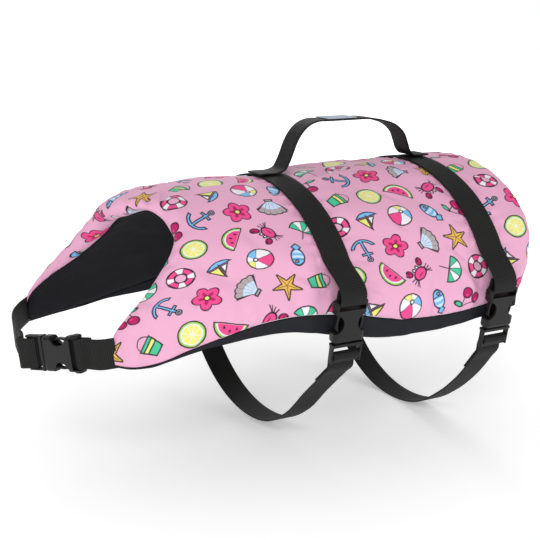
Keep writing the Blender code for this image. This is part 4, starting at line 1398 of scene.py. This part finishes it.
# %% Handle and patch
HANDLE_TOP = 0.0470                 # over BACK, as all heights of its path
HANDLE_PATH = {
    "x": (-0.0150, -0.0080, 0.0040, 0.0110, 0.0150, 0.0185, 0.0230, 0.0290, 0.0370, 0.0470, 0.0560,
          0.0880, 0.0970, 0.1180, 0.1330, 0.1415, 0.1460, 0.1490, 0.1530, 0.1610, 0.1710),
    "z": (0.0017, 0.0019, 0.0020, 0.0045, 0.0105, 0.0180, 0.0285, 0.0375, 0.0440, HANDLE_TOP, HANDLE_TOP,
          HANDLE_TOP, HANDLE_TOP, 0.0440, 0.0385, 0.0310, 0.0210, 0.0138, 0.0098, 0.0086, 0.0086),
}
PATCH = {"x": (0.0565, 0.0875), "width": 0.023, "thick": 0.0008}
PATCH_STEPS = 9


def patch_finish():
    """A plain weave in two shades of pale grey blue."""
    f = Finish("grey_patch", Roughness=0.7, Sheen_Weight=0.1)
    place = f.on_cloth()
    f.set("Base_Color", f.mix(f.noise(place, 500.0, 2.0), (0.36, 0.42, 0.50), (0.50, 0.56, 0.64)))
    weave_bump(f, place, pitch=0.0008, depth=0.00008)
    return f


def make_handle():
    """The handle along its path, and the patch a seam's gap over its flat top."""
    zero = np.zeros(len(HANDLE_PATH["x"]))
    route = np.stack([HANDLE_PATH["x"], zero, np.array(HANDLE_PATH["z"]) + BACK], -1)
    ribbon("handle", route, (0.0, 1.0, 0.0), webbing, ("grab_handle",))
    high = BACK + HANDLE_TOP + WEB / 2 + SEAM + PATCH["thick"] / 2
    line = [(x, 0.0, high) for x in np.linspace(*PATCH["x"], PATCH_STEPS)]
    ribbon("patch", line, (0.0, 1.0, 0.0), patch_finish(), ("handle_patch",),
           PATCH["width"], PATCH["thick"], rib=0.0)
    return high


print("patch at height", round(make_handle(), 4))

# %% [markdown]
# ## Buckles
# The buckle halves are moulded in black plastic. The solids of the female halves already have
# their real shape, so they stay and only get the finish: a fine moulded grain, a little brown in
# the black, and a gloss that changes a little from place to place. The male halves' solids get it
# too, and are then made again in the next step.

# %% Buckle plastic
GRAIN_SCALE = 1500.0
CLOUD_SCALE = 120.0
GLOSS = (0.30, 0.16)                # least roughness and what the clouds add to it


def plastic_finish():
    """Nearly black, with clouds in its colour and gloss, and a fine grain in its bump."""
    f = Finish("black_plastic", Roughness=0.38, Specular_IOR_Level=0.30)
    place = f.on_object()
    grain = f.noise(place, GRAIN_SCALE)
    cloud = f.noise(place, CLOUD_SCALE)
    f.set("Base_Color", f.mix(cloud, (0.0045, 0.0041, 0.0040), (0.0085, 0.0079, 0.0077)))
    f.set("Roughness", cloud * GLOSS[1] + GLOSS[0])
    f.bump(grain, distance=0.00006, strength=0.35)
    return f


plastic = plastic_finish()
buckles = [node for name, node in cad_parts.items() if name.startswith("buckle_")]
for node in buckles:
    node.material_slots[0].material = plastic.material
print(len(buckles), "buckle halves")

# %% [markdown]
# ## The male halves
# A male half is a short block with a tongue and two springy arms, which snap into the female
# half, and a ladder of two bars that grips the webbing. Light shows through the slot beside
# the block. Each part is a rectangle carried along a short line, and all of them are gathered
# in one mesh, whose edges a Bevel modifier rounds. This gives the slot its real opening, and
# it is easier to read than a block with holes cut into it.

# %% Male halves
MALE_WIDTH = 0.0295
MALE_THICK = 0.0078
BLOCK = 0.0030                      # its length along the buckle
RAIL = 0.0019                       # width of a rail beside the bars
RAIL_THICK = 0.0056
TONGUE = {"length": 0.018, "width": 0.005, "root": 0.0012}
# An arm is an arc round (middle, off), which reaches this far to each side of its middle.
ARM = {"radius": 0.0182, "middle": 0.0185, "off": -0.0060, "reach": 0.0083, "thick": 0.0020,
       "height": 0.0039}
ARM_STEPS = 13
EDGE = 0.0007                       # width of the rounding
SHARP = 0.6                         # radians; corners that turn more than this are rounded


def swept_box(route, across, width, thick):
    """A rectangle carried along a route: four rows of side faces and two flat ends."""
    route = np.asarray(route, dtype=float)
    across = np.broadcast_to(np.asarray(across, dtype=float), route.shape)
    up = unit(np.cross(across, unit(np.gradient(route, axis=0))))
    corner = np.array([(1, 1), (-1, 1), (-1, -1), (1, -1)]) / 2
    grid = route[:, None] + across[:, None] * corner[:, :1] * width + up[:, None] * corner[:, 1:] * thick
    index = np.arange(len(route) * 4).reshape(-1, 4)
    turned = np.roll(index, -1, axis=1)
    sides = np.stack([index[:-1], turned[:-1], turned[1:], index[1:]], -1).reshape(-1, 4)
    return grid.reshape(-1, 3), np.concatenate([sides, [index[0][::-1], index[-1]]])


def male_parts():
    """Block, two rails, two bars, tongue and two bowed arms, along X with the width along Y."""
    start = -BAR / 2 + FEMALE_LENGTH + MOUTH_GAP
    wide, tall = (0.0, 1.0, 0.0), (0.0, 0.0, 1.0)
    root = start + TONGUE["root"]
    yield swept_box([(start, 0, 0), (start + BLOCK, 0, 0)], wide, MALE_WIDTH, MALE_THICK)
    yield swept_box([(root - TONGUE["length"], 0, 0), (root, 0, 0)], wide, TONGUE["width"], ARM["height"])
    for bar in ladder_bars():
        half = MALE_WIDTH / 2 - RAIL / 2
        yield swept_box([(bar, -half, 0), (bar, half, 0)], (1.0, 0.0, 0.0), BAR, BAR_HEIGHT)
    turn = np.linspace(-1, 1, ARM_STEPS) * np.arcsin(ARM["reach"] / ARM["radius"])
    for side in (-1, 1):
        rail = side * (MALE_WIDTH - RAIL) / 2
        line = [(start + BLOCK / 2, rail, 0), (start + MALE_LENGTH, rail, 0)]
        yield swept_box(line, wide, RAIL, RAIL_THICK)
        bow = np.stack([ARM["middle"] + ARM["radius"] * np.sin(turn),
                        side * (ARM["off"] + ARM["radius"] * np.cos(turn)), 0 * turn], -1)
        yield swept_box(np.concatenate([bow, [(root, bow[-1][1], 0.0)]]), tall, ARM["height"], ARM["thick"])


def make_male_half(name, axes, node):
    """All the parts in one mesh, turned into the buckle's axes."""
    parts = list(male_parts())
    first = np.cumsum([0] + [len(points) for points, _ in parts])
    faces = np.concatenate([rows + at for (_, rows), at in zip(parts, first)])
    local = np.concatenate([points for points, _ in parts])
    points = axes["bar"] + local @ np.stack([axes["along"], axes["across"], axes["up"]])
    half = outward(add_piece(name, points, [faces], plastic, (node,)))
    half.data.set_sharp_from_angle(angle=SHARP)
    rounding = half.modifiers.new("rounded_edges", "BEVEL")
    rounding.width = EDGE
    rounding.segments = 2
    rounding.limit_method = "ANGLE"
    rounding.angle_limit = SHARP
    rounding.harden_normals = True
    return half


for place, axes in {**side_axes, "chest": chest_axes}.items():
    make_male_half("male_half_" + place, axes, "buckle_" + place + "_male")
print("male halves with bars at (mm)", np.round(np.array(ladder_bars()) * 1000, 1).tolist())

# %% Sizes
dressed_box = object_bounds()
grown = np.array(dressed_box) - np.array(cad_box)
print("grown by (mm)", np.round(grown * 1000, 1).tolist())
